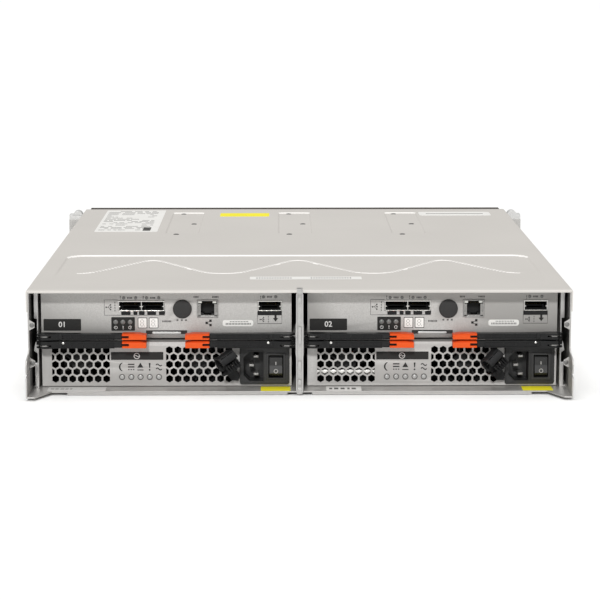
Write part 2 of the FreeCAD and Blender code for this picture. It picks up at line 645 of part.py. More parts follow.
def make_caps():
    """Moulded caps on the ears, crowned at the top, with windows over the rack screws."""
    x0 = BODY_WIDTH / 2 + GAP
    x1 = RACK_WIDTH / 2
    middle = (x0 + x1) / 2
    crown = CAP_CROWN_HALF_WIDTH
    points = [V(x0, FRONT, FLOOR_LIFT), V(x1, FRONT, FLOOR_LIFT), V(x1, FRONT, CAP_TOP), V(middle + crown, FRONT, CAP_TOP)]
    edges = [Part.makeLine(points[i], points[i + 1]) for i in range(3)]
    edges.append(Part.Arc(points[3], V(middle, FRONT, CAP_TOP + CAP_CROWN), V(middle - crown, FRONT, CAP_TOP)).toShape())
    edges.append(Part.makeLine(V(middle - crown, FRONT, CAP_TOP), V(x0, FRONT, CAP_TOP)))
    edges.append(Part.makeLine(V(x0, FRONT, CAP_TOP), points[0]))
    cap = Part.Face(Part.Wire(edges)).extrude(V(0, CAP_DEPTH, 0))
    windows = []
    for z in (EAR_HOLE_LOW, EAR_HOLE_LOW + EAR_HOLE_RISE):
        x = EAR_HOLE_SPACING / 2
        windows.append(box(x - EAR_SLOT_LENGTH / 2 - 1.0, x + EAR_SLOT_LENGTH / 2 + 1.0, FRONT - 1.0,
                           FRONT + CAP_DEPTH + 1.0, z - CAP_WINDOW / 2, z + CAP_WINDOW / 2))
    return both_sides(cap.cut(Part.makeCompound(windows)))


def make_screws():
    """Cover screw heads and the studs of the rear corners, as eight-sided buttons."""
    solids = []
    for x, y, z in screw_places():
        solids.append(prism_z(ring_points(x, y, SCREW_RADIUS), z, z + SCREW_HEAD))
    for height in STUD_HEIGHTS:
        solids += both_sides(prism_y(ring_points(STUD_PLACE, height, STUD_RADIUS), REAR - STUD_HEAD, REAR))
    return solids


# ---- levers shared by both kinds of canister ----------------------------------------------------
def lever_layout(kind):
    """Foot, height and pivot sheet of a lever: (foot, top, sheet foot, sheet top)."""
    if kind == "esm":
        return ESM_LEVER_FOOT, ESM_LEVER_FOOT + ESM_LEVER_HEIGHT, ESM_FLOOR, ESM_FLOOR + PLATE
    return PSU_LEVER_FOOT, PSU_LEVER_FOOT + PSU_LEVER_HEIGHT, PSU_TOP - PLATE, PSU_TOP


def pivot_tab(kind):
    """Tongue of the face sheet that carries a lever's pin, left-hand side."""
    _, _, low, high = lever_layout(kind)
    x = -PIVOT_PLACE
    end = PIVOT_Y - TAB_RADIUS
    nip = TAB_RADIUS / 2
    tab = prism_z([(x - TAB_RADIUS, FACE), (x - TAB_RADIUS, end + nip), (x - nip, end), (x + nip, end),
                   (x + TAB_RADIUS, end + nip), (x + TAB_RADIUS, FACE)], low, high)
    return tab.cut(rod_z(x, PIVOT_Y, PIN_RADIUS + PIN_CLEARANCE, low - 1.0, high + 1.0))


def latch_middle(kind):
    foot, top, _, _ = lever_layout(kind)
    return (foot + top) / 2


def make_lever(kind):
    """Left-hand lever: forked cam end with its pin, tapered arm and the latch's tongue."""
    foot, top, low, high = lever_layout(kind)
    x = -PIVOT_PLACE
    arm_end = -LATCH_PLACE - GAP
    rear = PIVOT_Y - ARM_DEPTH / 2
    front = PIVOT_Y + ARM_DEPTH / 2
    nip = FORK_RADIUS / 2
    body = prism_z([(x + nip, PIVOT_Y - FORK_RADIUS), (x + 12.0, rear), (arm_end, rear), (arm_end, front - 1.0),
                    (x + 16.0, front), (x + nip, PIVOT_Y + FORK_RADIUS), (x - nip, PIVOT_Y + FORK_RADIUS),
                    (x - CAM_REACH, PIVOT_Y + 1.5), (x - CAM_REACH, PIVOT_Y - 2.0),
                    (x - nip, PIVOT_Y - FORK_RADIUS)], foot, top)
    slot_end = x + FORK_RADIUS
    slot = box(x - 2 * CAM_REACH, slot_end, PIVOT_Y - 2 * FORK_RADIUS, PIVOT_Y + 2 * FORK_RADIUS,
               low - SLOT_CLEARANCE, high + SLOT_CLEARANCE)
    groove_inset = 1.2
    groove = box(x + 14.0, arm_end - 6.0, rear - 1.0, rear + 0.8, foot + groove_inset, top - groove_inset)
    neck_low = prism_x([(rear - 1.0, foot - 1.0), (rear + 3.0, foot - 1.0), (rear + 3.0, foot + 0.9), (rear - 1.0, foot + 0.9)],
                       arm_end - 6.0, arm_end + 1.0)
    body = body.cut(Part.makeCompound([slot, groove, neck_low]))
    pin = rod_z(x, PIVOT_Y, PIN_RADIUS, low - SLOT_CLEARANCE, high + SLOT_CLEARANCE)
    middle = latch_middle(kind)
    tongue = box(arm_end - 1.0, -LATCH_PLACE + TONGUE_LENGTH, PIVOT_Y - TONGUE_DEPTH / 2, PIVOT_Y + TONGUE_DEPTH / 2,
                 middle - TONGUE_HEIGHT / 2, middle + TONGUE_HEIGHT / 2)
    return fuse([body, pin, tongue])


def make_latch(kind):
    """Left-hand latch: bevelled block with a fork slot, hollow for the tongue, and a catch."""
    foot, top, low, high = lever_layout(kind)
    middle = latch_middle(kind)
    outer = -LATCH_PLACE
    inner = outer + LATCH_LENGTH
    rear = PIVOT_Y - LATCH_DEPTH / 2
    front = PIVOT_Y + LATCH_DEPTH / 2
    lift = 0.3
    block = prism_y([(outer, foot + lift), (inner, foot + lift), (inner, top - 1.0), (inner - 6.0, top),
                     (outer, top)], rear, front)
    bevel = prism_x([(rear - 1.0, top + 1.0), (rear - 1.0, top - 2.4), (rear + 2.4, top + 1.0)], outer - 1.0, inner + 1.0)
    block = block.cut(bevel)
    half = TONGUE_HEIGHT / 2 + FIT
    fork = box(outer - 1.0, outer + LATCH_SLOT, rear - 1.0, front + 1.0, middle - half, middle + half)
    hollow = box(outer - 1.0, outer + TONGUE_LENGTH + 2 * GAP, PIVOT_Y - TONGUE_DEPTH / 2 - FIT,
                 PIVOT_Y + TONGUE_DEPTH / 2 + FIT, middle - half, middle + half)
    block = block.cut(Part.makeCompound([fork, hollow]))
    centre = (outer + inner) / 2 + 2.0
    if kind == "esm":
        catch_foot = foot + lift
    else:
        catch_foot = high + GAP + 0.2
    catch = box(centre - CATCH_WIDTH / 2, centre + CATCH_WIDTH / 2, front - 1.0, FACE + CATCH_REACH,
                catch_foot, catch_foot + CATCH_HEIGHT)
    return fuse([block, catch])


# ---- upper canister: services module ----------------------------------------------------------------
def esm_openings(fit):
    """Blocks that the ports fill in the face, each grown by a clearance."""
    y0 = FACE - 2.0
    y1 = FACE + PLATE + 1.0
    sas = [(SAS_PAIR_LEFT, SAS_PAIR_WIDTH), (SAS_SINGLE_LEFT, SAS_SINGLE_WIDTH)]
    blocks = [box(left - fit, left + width + fit, y0, y1, SAS_FOOT - fit, SAS_FOOT + SAS_HEIGHT + fit)
              for left, width in sas]
    blocks.append(box(RJ_LEFT - fit, RJ_LEFT + RJ_WIDTH + fit, y0, y1, RJ_FOOT - fit, RJ_FOOT + RJ_HEIGHT + fit))
    for left in DIGIT_LEFTS:
        blocks.append(box(left - fit, left + DIGIT_WIDTH + fit, y0, y1, DIGIT_FOOT - fit, DIGIT_FOOT + DIGIT_HEIGHT + fit))
    blocks.append(prism_y(ring_points(PLUG_PLACE[0], PLUG_PLACE[1], PLUG_RADIUS - 1.0 + fit, 12), y0, y1))
    return blocks


def make_esm_face():
    half = FACE_WIDTH / 2
    plate = box(-half, half, FACE, FACE + PLATE, ESM_FLOOR, ESM_TOP)
    tab = pivot_tab("esm")
    return [fuse([plate, tab, mirrored(tab)]).cut(Part.makeCompound(esm_openings(PORT_FIT)))]


def canister_shell(foot, top, windows):
    """Sheet box behind a face, open at the face, closed at its inner end but for windows."""
    half = HOUSING_WIDTH / 2
    y0 = FACE + PLATE
    y1 = FACE + CANISTER_DEPTH
    outer = box(-half, half, y0, y1, foot, top)
    inner = box(-half + PLATE, half - PLATE, y0 - 1.0, y1 - PLATE, foot + PLATE, top - PLATE)
    holes = [box(x0, x1, y1 - 2 * PLATE, y1 + 1.0, z0, z1) for x0, x1, z0, z1 in windows]
    return outer.cut(Part.makeCompound([inner] + holes))


def make_esm_housing():
    reach = CONTACT_HALF_WIDTH + 3.0
    foot = BOARD_FOOT - CONTACT_HEIGHT - 1.2
    windows = [(CONTACT_PLACE - reach, CONTACT_PLACE + reach, foot, foot + 11.0),
               (23.0 - EDGE, 0.0, ESM_FLOOR + 9.0, ESM_TOP - 12.0)]
    return [canister_shell(ESM_FLOOR, ESM_TOP, windows)]


def make_esm_board():
    """Circuit board with its main chip's heat sink and the plug for the midplane."""
    half = HOUSING_WIDTH / 2 - PLATE - 1.0
    foot = BOARD_FOOT
    y1 = FACE + CANISTER_DEPTH
    board = box(-half, half, FACE + DIGIT_DEPTH, y1 - PLATE - 1.0, foot, RJ_FOOT)
    posts = [box(sx * (half - 8.0) - 2.0, sx * (half - 8.0) + 2.0, y - 2.0, y + 2.0, ESM_FLOOR + PLATE, foot)
             for sx in (-1, 1) for y in (FACE + 20.0, y1 - 20.0)]
    y0 = FACE + SINK_PLACE
    sink_foot = RJ_FOOT + 4.0
    sink = [box(-SINK_HALF_WIDTH, SINK_HALF_WIDTH, y0, y0 + SINK_LENGTH, RJ_FOOT, sink_foot)]
    fins = 7
    for fin in range(fins):
        x = (2 * fin / (fins - 1) - 1) * (SINK_HALF_WIDTH - 2.0)
        sink.append(box(x - 1.0, x + 1.0, y0, y0 + SINK_LENGTH, sink_foot, RJ_FOOT + SINK_HEIGHT))
    # The plug stands under the board and reaches the midplane's socket through the rear window.
    plug = box(CONTACT_PLACE - CONTACT_HALF_WIDTH, CONTACT_PLACE + CONTACT_HALF_WIDTH, y1 - CONTACT_DEPTH, y1,
               foot - CONTACT_HEIGHT, foot)
    return [fuse([board] + posts), fuse(sink), plug]


def sas_cage(left, width, ports):
    """Metal cage of side-by-side serial ports with a contact tongue in each."""
    y0 = FACE - SAS_PROUD
    y1 = FACE + SAS_DEPTH
    body = fuse([box(left, left + width, y0, y1, SAS_FOOT, SAS_FOOT + SAS_HEIGHT),
                 box(left, left + width, FACE + DIGIT_DEPTH, y1, RJ_FOOT, SAS_FOOT)])
    pitch = (width - SAS_WALL) / ports
    cavities = []
    tongues = []
    for port in range(ports):
        x0 = left + port * pitch + SAS_WALL
        x1 = x0 + pitch - SAS_WALL
        cavities.append(box(x0, x1, y0 - 1.0, y1 - 2.0, SAS_FOOT + SAS_WALL, SAS_FOOT + SAS_HEIGHT - SAS_WALL))
        tongues.append(box(x0 + 2.5, x1 - 2.5, FACE + 5.0, y1 - 1.0, SAS_FOOT + 1.4, SAS_FOOT + 2.4))
    return fuse([body.cut(Part.makeCompound(cavities))] + tongues)


def make_esm_ports():
    """Serial ports, network jack, display windows and the blanking plug, on one board edge."""
    pair = sas_cage(SAS_PAIR_LEFT, SAS_PAIR_WIDTH, 2)
    single = sas_cage(SAS_SINGLE_LEFT, SAS_SINGLE_WIDTH, 1)
    jack = box(RJ_LEFT, RJ_LEFT + RJ_WIDTH, FACE - SAS_PROUD, FACE + RJ_DEPTH, RJ_FOOT, RJ_FOOT + RJ_HEIGHT)
    middle = RJ_LEFT + RJ_WIDTH / 2
    cavity_foot = RJ_FOOT + RJ_CAVITY_FOOT
    cavity = box(middle - RJ_CAVITY_WIDTH / 2, middle + RJ_CAVITY_WIDTH / 2, FACE - 2.0, FACE + RJ_DEPTH - 3.0,
                 cavity_foot, cavity_foot + RJ_CAVITY_HEIGHT)
    notch = box(middle - RJ_NOTCH_WIDTH / 2, middle + RJ_NOTCH_WIDTH / 2, FACE - 2.0, FACE + RJ_DEPTH - 6.0,
                cavity_foot - RJ_NOTCH_DEPTH, cavity_foot + 1.0)
    jack = jack.cut(Part.makeCompound([cavity, notch]))
    digits = [box(left, left + DIGIT_WIDTH, FACE - 0.1, FACE + DIGIT_DEPTH, DIGIT_FOOT, DIGIT_FOOT + DIGIT_HEIGHT)
              for left in DIGIT_LEFTS]
    x, z = PLUG_PLACE
    plug = fuse([rod_y(x, z, PLUG_RADIUS, FACE - 1.6, FACE), rod_y(x, z, PLUG_RADIUS - 1.0, FACE - 1.0, FACE + 3.0)])
    return [pair, single, jack, plug] + digits


# ---- lower canister: power and cooling --------------------------------------------------------------
def hex_holes(first, count):
    """Close-packed hexagonal holes, trimmed by upright sides where a half hole falls."""
    corner = HEX_CORNER
    left = first - HEX_FLATS / 2
    right = first + (count - 1) * HEX_PITCH + HEX_FLATS / 2
    holes = []
    for row in range(HEX_ROWS):
        shift = 0.5 * (row % 2)
        z = HEX_LOW_ROW + row * HEX_ROW_PITCH
        for column in range(-(row % 2), count):
            x = first + (column + shift) * HEX_PITCH
            points = []
            for turn in range(6):
                angle = math.radians(30 + 60 * turn)
                px = min(max(x + corner * math.cos(angle), left), right)
                points.append((px, z + corner * math.sin(angle)))
            if points[0][0] - points[2][0] < HEX_FLATS - 0.01:
                points = trimmed_hex(x, z, corner, left, right)
            holes.append(prism_y(points, FACE - 1.0, FACE + PLATE + 1.0))
    return holes


def trimmed_hex(x, z, corner, left, right):
    """Outline of the part of a hexagon that lies between two upright lines."""
    half = HEX_FLATS / 2
    if x < left:
        edge = left
        far = x + half
    else:
        edge = right
        far = x - half
    cut_height = corner - abs(edge - x) * math.tan(math.radians(30))
    return [(edge, z - cut_height), (far, z - corner / 2), (far, z + corner / 2), (edge, z + cut_height)]


def psu_openings(fit):
    """Holes of the power canister's face, apart from the grilles."""
    y0 = FACE - 2.0
    y1 = FACE + PLATE + 1.0
    inset = 1.5
    body = box(INLET_LEFT + inset - fit, INLET_LEFT + INLET_WIDTH - inset + fit, y0, y1,
               INLET_FOOT + inset - fit, INLET_FOOT + INLET_HEIGHT - inset + fit)
    anchor = rod_y(CLIP_ANCHOR[0], CLIP_ANCHOR[1], CLIP_STUD + PIN_CLEARANCE, y0, y1)
    return [body, anchor]


def make_psu_face():
    half = FACE_WIDTH / 2
    plate = box(-half, half, FACE, FACE + PLATE, PSU_FACE_FOOT, PSU_TOP)
    tab = pivot_tab("psu")
    cuts = psu_openings(PORT_FIT)
    for place, count in zip(FAN_PLACES, HOLE_COUNTS):
        cuts += hex_holes(place - (count - 1) * HEX_PITCH / 2, count)
    return [fuse([plate, tab, mirrored(tab)]).cut(Part.makeCompound(cuts))]


def fan_frame(x):
    """Square duct with three struts that carry the motor."""
    half = (PSU_TOP - PSU_FLOOR) / 2 - PLATE
    z = FAN_MIDDLE
    y0 = FACE + PLATE + FAN_START
    y1 = y0 + FAN_DEPTH
    bore = FAN_RADIUS + FAN_TIP_GAP
    duct = box(x - half, x + half, y0, y1, z - half, z + half)
    duct = duct.cut(prism_y(ring_points(x, z, bore, 16), y0 - 1.0, y1 + 1.0))
    stator = prism_y(ring_points(x, z, FAN_HUB), y1 - 4.0, y1)
    struts = []
    for turn in range(3):
        strut = box(x - 1.0, x + 1.0, y1 - 3.0, y1, z, z + bore + FAN_WALL)
        strut.rotate(V(x, y1, z), Y_AXIS, 45 + 120 * turn)
        struts.append(strut)
    frame = fuse([duct, stator] + struts)
    return frame.cut(rod_y(x, z, FAN_SHAFT + PIN_CLEARANCE, y1 - 5.0, y1 + 1.0))


def make_fan_rotor(x):
    """Hub and swept blades on a shaft that runs in the motor's bore."""
    z = FAN_MIDDLE
    y0 = FACE + PLATE + FAN_START + 1.0
    y1 = FACE + PLATE + FAN_START + FAN_DEPTH
    hub_end = y1 - 4.0 - GAP
    hub = prism_y(ring_points(x, z, FAN_HUB, 2 * FAN_BLADES), y0, hub_end)
    shaft = rod_y(x, z, FAN_SHAFT, hub_end - 1.0, y1 - 0.5)
    depth = hub_end - y0 - 1.0
    sweep = depth * math.tan(math.radians(BLADE_PITCH)) / 2
    tip = math.sqrt(FAN_RADIUS ** 2 - (sweep + BLADE_HALF) ** 2)
    start = y0 + 0.5
    blades = []
    for turn in range(FAN_BLADES):
        outline = [(x - sweep - BLADE_HALF, start), (x - sweep + BLADE_HALF, start),
                   (x + sweep + BLADE_HALF, start + depth), (x + sweep - BLADE_HALF, start + depth)]
        blade = prism_z(outline, z + FAN_HUB - 3.0, z + tip)
        blade.rotate(V(x, 0, z), Y_AXIS, 360.0 * turn / FAN_BLADES)
        blades.append(blade)
    return [fuse([hub, shaft] + blades)]


def make_psu_housing():
    """Shell, two fan ducts and the converter board with its plug."""
    foot = PSU_FLOOR + 7.0
    reach = CONTACT_HALF_WIDTH + 3.0
    shell = canister_shell(PSU_FLOOR, PSU_TOP, [
        (CONTACT_PLACE - reach, CONTACT_PLACE + reach, PSU_FLOOR + 4.0, foot + 11.0),
        (23.0 - EDGE, 20.0, foot, PSU_TOP - 6.0)])
    frames = [fan_frame(x) for x in FAN_PLACES]
    y1 = FACE + CANISTER_DEPTH
    deck = PSU_FLOOR + PLATE
    half = EDGE - 8.0
    top = deck + 2.0 + BOARD_THICKNESS
    board = box(-half, half, FACE + 60.0, y1 - PLATE - 2.0, deck + 2.0, top)
    posts = [box(sx * (half - 10.0) - 2.0, sx * (half - 10.0) + 2.0, y - 2.0, y + 2.0, deck, deck + 2.0)
             for sx in (-1, 1) for y in (FACE + 80.0, y1 - 20.0)]
    parts = [box(-70.0, -30.0, FACE + 90.0, y1 - 80.0, top, PSU_TOP - 8.7),
             box(-10.0, 10.0, FACE + 80.0, y1 - 70.0, top, PSU_TOP - 6.7)]
    plug = box(CONTACT_PLACE - CONTACT_HALF_WIDTH, CONTACT_PLACE + CONTACT_HALF_WIDTH, y1 - CONTACT_DEPTH - 2.0, y1,
               top, PSU_FLOOR + 17.0)
    return [shell] + frames + [fuse([board] + posts + parts + [plug])]


def make_inlet():
    """Inlet and switch housing: rounded bezel, keyed socket with three blades, switch well."""
    x0 = INLET_LEFT
    x1 = INLET_LEFT + INLET_WIDTH
    z0 = INLET_FOOT
    z1 = INLET_FOOT + INLET_HEIGHT
    bezel = box(x0, x1, FACE - INLET_BEZEL, FACE, z0, z1)
    upright = [edge for edge in bezel.Edges if abs(edge.Curve.Direction.y) > 0.99]
    bezel = bezel.makeFillet(INLET_RADIUS, upright)
    inset = 1.5
    body = box(x0 + inset, x1 - inset, FACE - 1.0, FACE + INLET_BODY_DEPTH, z0 + inset, z1 - inset)
    solid = fuse([bezel, body])
    sx0 = SOCKET_LEFT
    sx1 = SOCKET_LEFT + SOCKET_WIDTH
    sz0 = SOCKET_FOOT
    sz1 = SOCKET_FOOT + SOCKET_HEIGHT
    mouth = FACE - INLET_BEZEL
    floor = mouth + SOCKET_DEPTH
    key = SOCKET_CHAMFER
    socket = prism_y([(sx0, sz0 + key), (sx0 + key, sz0), (sx1, sz0), (sx1, sz1), (sx0 + key, sz1), (sx0, sz1 - key)],
                     mouth - 1.0, floor)
    rim = box(SWITCH_LEFT, SWITCH_LEFT + SWITCH_WIDTH, mouth - SWITCH_PROUD, mouth + 0.5,
              SWITCH_FOOT, SWITCH_FOOT + SWITCH_HEIGHT)
    well = box(SWITCH_LEFT + SWITCH_SIDE_RIM, SWITCH_LEFT + SWITCH_WIDTH - SWITCH_SIDE_RIM, mouth - 2.0,
               mouth + SWITCH_DEPTH, SWITCH_FOOT + SWITCH_END_RIM, SWITCH_FOOT + SWITCH_HEIGHT - SWITCH_END_RIM)
    solid = fuse([solid, rim]).cut(Part.makeCompound([socket, well]))
    blades = []
    for bx, bz in BLADES:
        blade = box(bx - BLADE_WIDTH / 2, bx + BLADE_WIDTH / 2, floor - BLADE_LENGTH, floor + 1.0,
                    bz - BLADE_THICKNESS / 2, bz + BLADE_THICKNESS / 2)
        blades.append(blade)
    y, z = rocker_pivot()
    x = SWITCH_LEFT + SWITCH_WIDTH / 2
    reach = SWITCH_WIDTH / 2
    pin_hole = rod_x(y, z, ROCKER_PIN + PIN_CLEARANCE, x - reach, x + reach)
    return [fuse([solid] + blades).cut(pin_hole)]


def rocker_pivot():
    """Pivot of the rocker: its depth and height."""
    return FACE - INLET_BEZEL + ROCKER_DEPTH, SWITCH_FOOT + SWITCH_HEIGHT / 2


def make_rocker():
    """Rocker button: two shallow facets over a round heel, on two stub pins."""
    y, z = rocker_pivot()
    x = SWITCH_LEFT + SWITCH_WIDTH / 2
    half = ROCKER_WIDTH / 2
    heel = rod_x(y, z, ROCKER_RADIUS, x - half, x + half)
    front = 5.4
    ends = 6.2
    facets = prism_x([(y - front, z), (y - ends, z + ROCKER_RADIUS), (y + 3.0, z + ROCKER_RADIUS),
                      (y + 3.0, z - ROCKER_RADIUS), (y - ends, z - ROCKER_RADIUS)], x - half, x + half)
    button = heel.common(facets)
    pins = rod_x(y, z, ROCKER_PIN, x - half - 1.2, x + half + 1.2)
    rocker = fuse([button, pins])
    rocker.rotate(V(x, y, z), X_AXIS, ROCKER_TILT)
    return [rocker]


def make_clip():
    """Cord clip: push-in foot, strap, open ring with a latch block and a toothed edge."""
    ax, az = CLIP_ANCHOR
    cx, cz = CLIP_CENTRE
    y = FACE - CLIP_REACH
    foot_face = FACE - GAP
    foot = prism_y(ring_points(ax, az, CLIP_FOOT_RADIUS), foot_face - CLIP_FOOT_DEPTH, foot_face)
    stud = rod_y(ax, az, CLIP_STUD, foot_face - 0.5, FACE + PLATE + 0.4)
    snap = prism_y(ring_points(ax, az, CLIP_STUD + 0.6), FACE + PLATE + GAP, FACE + PLATE + 2.0)
    tilt = math.radians(CLIP_TILT)
    along = V(math.cos(tilt), 0, math.sin(tilt))
    start = V(cx, y, cz) - along * (CLIP_LENGTH / 2)
    ring = Part.makeCylinder(CLIP_RADIUS, CLIP_LENGTH, start, along)
    ring = ring.cut(Part.makeCylinder(CLIP_BORE, CLIP_LENGTH + 2.0, start - along, along))
    frame = FreeCAD.Placement(V(cx, y, cz), FreeCAD.Rotation(Y_AXIS, -CLIP_TILT))
    half = CLIP_LENGTH / 2
    mouth = box(-half - 1.0, half + 1.0, -CLIP_RADIUS - 1.0, 0, -CLIP_RADIUS - 1.0, 0)
    mouth.Placement = frame
    ring = ring.cut(mouth)
    jaw = box(-half, half, -CLIP_RADIUS, 1.0, -CLIP_RADIUS, -CLIP_BORE)
    jaw.Placement = frame
    strap = prism_y([(ax - 3.6, az - 1.0), (ax + 2.6, az - 2.4), (ax + 2.8, az + 2.0), (cx + 4.4, cz - 4.0),
                     (cx - 3.6, cz - 3.0), (cx - 3.0, cz - 7.0)],
                    foot_face - CLIP_FOOT_DEPTH - STRAP, foot_face - CLIP_FOOT_DEPTH)
    return [fuse([foot, stud, snap, strap, ring, jaw])]


# ---- drives -------------------------------------------------------------------------------------------
def make_carrier(column, row):
    """Carrier with front grille, sled walls, its disk drive, and the front grip."""
    x = column_middle(column)
    z0 = row_foot(row)
    half = COLUMN_PITCH / 2 - SHEET / 2 - CARRIER_GAP
    height = ROW_PITCH - RAIL - GAP
    y_bezel = FRONT - 1.0
    y_front = y_bezel + BEZEL_DEPTH
    sled_rear = CAGE_REAR + CONNECTOR_REACH + 2.0
    bezel = box(x - half, x + half, y_bezel, y_front, z0, z0 + height)
    slots = [box(x - half + SLOT_INSET, x + half - SLED_WALL, y_bezel - 1.0, y_front + 1.0, foot, foot + SLOT_HEIGHT)
             for foot in (z0 + SLED_WALL, z0 + height - SLED_WALL - SLOT_HEIGHT)]
    bezel = bezel.cut(Part.makeCompound(slots))
    walls = [box(x - half, x - half + SLED_WALL, sled_rear, y_bezel, z0, z0 + SLED_HEIGHT),
             box(x + half - SLED_WALL, x + half, sled_rear, y_bezel, z0, z0 + SLED_HEIGHT)]
    carrier = fuse([bezel] + walls)
    inner = half - SLED_WALL
    spacer = inner - DRIVE_WIDTH / 2
    spacers = [box(x - inner, x - inner + spacer, sled_rear + 12.0, sled_rear + 20.0, z0 + 3.0, z0 + 9.0),
               box(x + inner - spacer, x + inner, sled_rear + 12.0, sled_rear + 20.0, z0 + 3.0, z0 + 9.0)]
    carrier = fuse([carrier] + spacers)
    drive = box(x - DRIVE_WIDTH / 2, x + DRIVE_WIDTH / 2, sled_rear, sled_rear + DRIVE_LENGTH, z0, z0 + DRIVE_HEIGHT - GAP)
    grip_z = z0 + height / 2
    grip = box(x - half + 20.0, x + half - 3.0, y_front, FRONT + DRIVE_FRONT_REACH, grip_z - GRIP_HEIGHT / 2, grip_z + GRIP_HEIGHT / 2)
    return [carrier, drive, grip]


# ---- all nodes -----------------------------------------------------------------------------------------
def main():
    os.makedirs("parts", exist_ok=True)
    save("chassis_tray", make_tray())
    save("top_cover", make_cover())
    save("center_divider", make_divider())
    save("bay_guides", make_guides())
    save("bay_shelves", make_shelf())
    save("drive_cage", make_cage())
    save("midplane_board", make_midplane())
    save("rack_ears", make_ears())
    save("ear_caps", make_caps())
    save("chassis_screws", make_screws())
    upper = {"housing": make_esm_housing(), "faceplate": make_esm_face(), "board": make_esm_board(),
             "ports": make_esm_ports()}
    lower = {"housing": make_psu_housing(), "faceplate": make_psu_face(), "inlet": make_inlet(),
             "rocker": make_rocker(), "cord_clip": make_clip(), "fan_1": make_fan_rotor(FAN_PLACES[0]),
             "fan_2": make_fan_rotor(FAN_PLACES[1])}
    kits = {"esm": upper, "psu": lower}
    for kind in ("esm", "psu"):
        lever = make_lever(kind)
        latch = make_latch(kind)
        kits[kind]["lever_1"] = [lever]
        kits[kind]["lever_2"] = [mirrored(lever)]
        kits[kind]["latch_1"] = [latch]
        kits[kind]["latch_2"] = [mirrored(latch)]
    for side, place in (("left", -MODULE_PITCH / 2), ("right", MODULE_PITCH / 2)):
        for kind, kit in kits.items():
            for name, solids in kit.items():
                save(kind + "_" + side + "_" + name, [moved(solid, place) for solid in solids])
    for column in range(COLUMNS):
        for row in range(ROWS):
            save("drive_" + str(column + 1) + "_" + str(row + 1), make_carrier(column, row))


main()
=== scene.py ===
"""Looks of the disk shelf enclosure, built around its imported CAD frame.

Shapes are written in millimetres in the row frame: +X right when the rear is faced, +Y from
the rear to the drive fronts, +Z up. They become metres when a mesh is made.
"""
import json
import math
import random

import bmesh
import bpy
from mathutils import Matrix, Vector


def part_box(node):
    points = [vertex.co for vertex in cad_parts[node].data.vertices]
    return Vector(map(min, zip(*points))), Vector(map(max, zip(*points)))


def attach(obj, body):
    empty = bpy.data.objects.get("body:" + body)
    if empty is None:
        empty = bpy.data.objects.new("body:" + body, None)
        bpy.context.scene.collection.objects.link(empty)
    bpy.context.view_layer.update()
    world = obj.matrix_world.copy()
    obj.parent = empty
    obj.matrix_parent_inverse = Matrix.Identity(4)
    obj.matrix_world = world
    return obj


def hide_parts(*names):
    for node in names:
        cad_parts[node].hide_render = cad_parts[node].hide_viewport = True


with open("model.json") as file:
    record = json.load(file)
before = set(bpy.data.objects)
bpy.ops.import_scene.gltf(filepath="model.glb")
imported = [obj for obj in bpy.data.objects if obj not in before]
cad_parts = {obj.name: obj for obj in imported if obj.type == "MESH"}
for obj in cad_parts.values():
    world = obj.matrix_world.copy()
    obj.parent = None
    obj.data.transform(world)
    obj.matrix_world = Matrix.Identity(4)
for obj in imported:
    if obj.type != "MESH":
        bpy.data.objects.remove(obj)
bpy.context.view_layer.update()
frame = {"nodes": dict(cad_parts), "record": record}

MM = 0.001
NODES = frame["nodes"]


def box_mm(node):
    """Bounds of a node in millimetres: x0, x1, y0, y1, z0, z1."""
    return [value / MM for pair in zip(*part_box(node)) for value in pair]


MODULES = (("left", -110), ("right", 110))
_, HALF, REAR, FRONT, _, TOP = box_mm("top_cover")
FACE = box_mm("esm_left_housing")[2] - 1
FACE_TO_PIVOT = 11
DRIVES = [name for name in sorted(NODES) if name.startswith("drive_") and name != "drive_cage"]


# ---- camera, light and floor ----
SENSOR_WIDTH, LENS = 36, 125.98
CAMERA_PLACE = (-15.4, -1959.4, 363)
CAMERA_DIP, CAMERA_TURN = 9.535, -0.53    # degrees: below level, and about the upright axis
SKY_COLOUR, SKY_STRENGTH = (1, 0.995, 0.985, 1), 0.29
SUNS = (("overhead", (0.04, 0.06, -1), 1.70, 45), ("front_key", (0.08, 0.86, -0.50), 1.95, 5))
FLOOR_HALF, FLOOR_DROP = 60, 0.0004       # metres


def show(name, data):
    obj = bpy.data.objects.new(name, data)
    bpy.context.scene.collection.objects.link(obj)
    return obj


def make_camera():
    data = bpy.data.cameras.new("camera")
    data.sensor_width = SENSOR_WIDTH
    data.lens = LENS
    camera = show("camera", data)
    camera.location = Vector(CAMERA_PLACE) * MM
    camera.rotation_mode = "XYZ"
    camera.rotation_euler = (math.radians(90 - CAMERA_DIP), 0, math.radians(CAMERA_TURN))
    bpy.context.scene.camera = camera


def make_stage():
    """Pale world, two suns (direction, strength, width of the source in degrees) and a floor."""
    scene = bpy.context.scene
    scene.view_settings.view_transform = "Standard"
    world = bpy.data.worlds.new("studio")
    scene.world = world
    world.use_nodes = True
    feed(world.node_tree, world.node_tree.nodes["Background"],
         {"Color": SKY_COLOUR, "Strength": SKY_STRENGTH})
    for name, towards, strength, width in SUNS:
        data = bpy.data.lights.new(name, "SUN")
        data.energy = strength
        data.angle = math.radians(width)
        show(name, data).rotation_euler = Vector(towards).to_track_quat("-Z", "Y").to_euler()
    mesh = bpy.data.meshes.new("floor")
    corners = [(sx * FLOOR_HALF, sy * FLOOR_HALF, 0) for sx, sy in ((-1, -1), (1, -1), (1, 1), (-1, 1))]
    mesh.from_pydata(corners, [], [(0, 1, 2, 3)])
    floor = show("floor", mesh)
    floor.location.z = -FLOOR_DROP
    floor.data.materials.append(MATERIALS["floor_paper"])


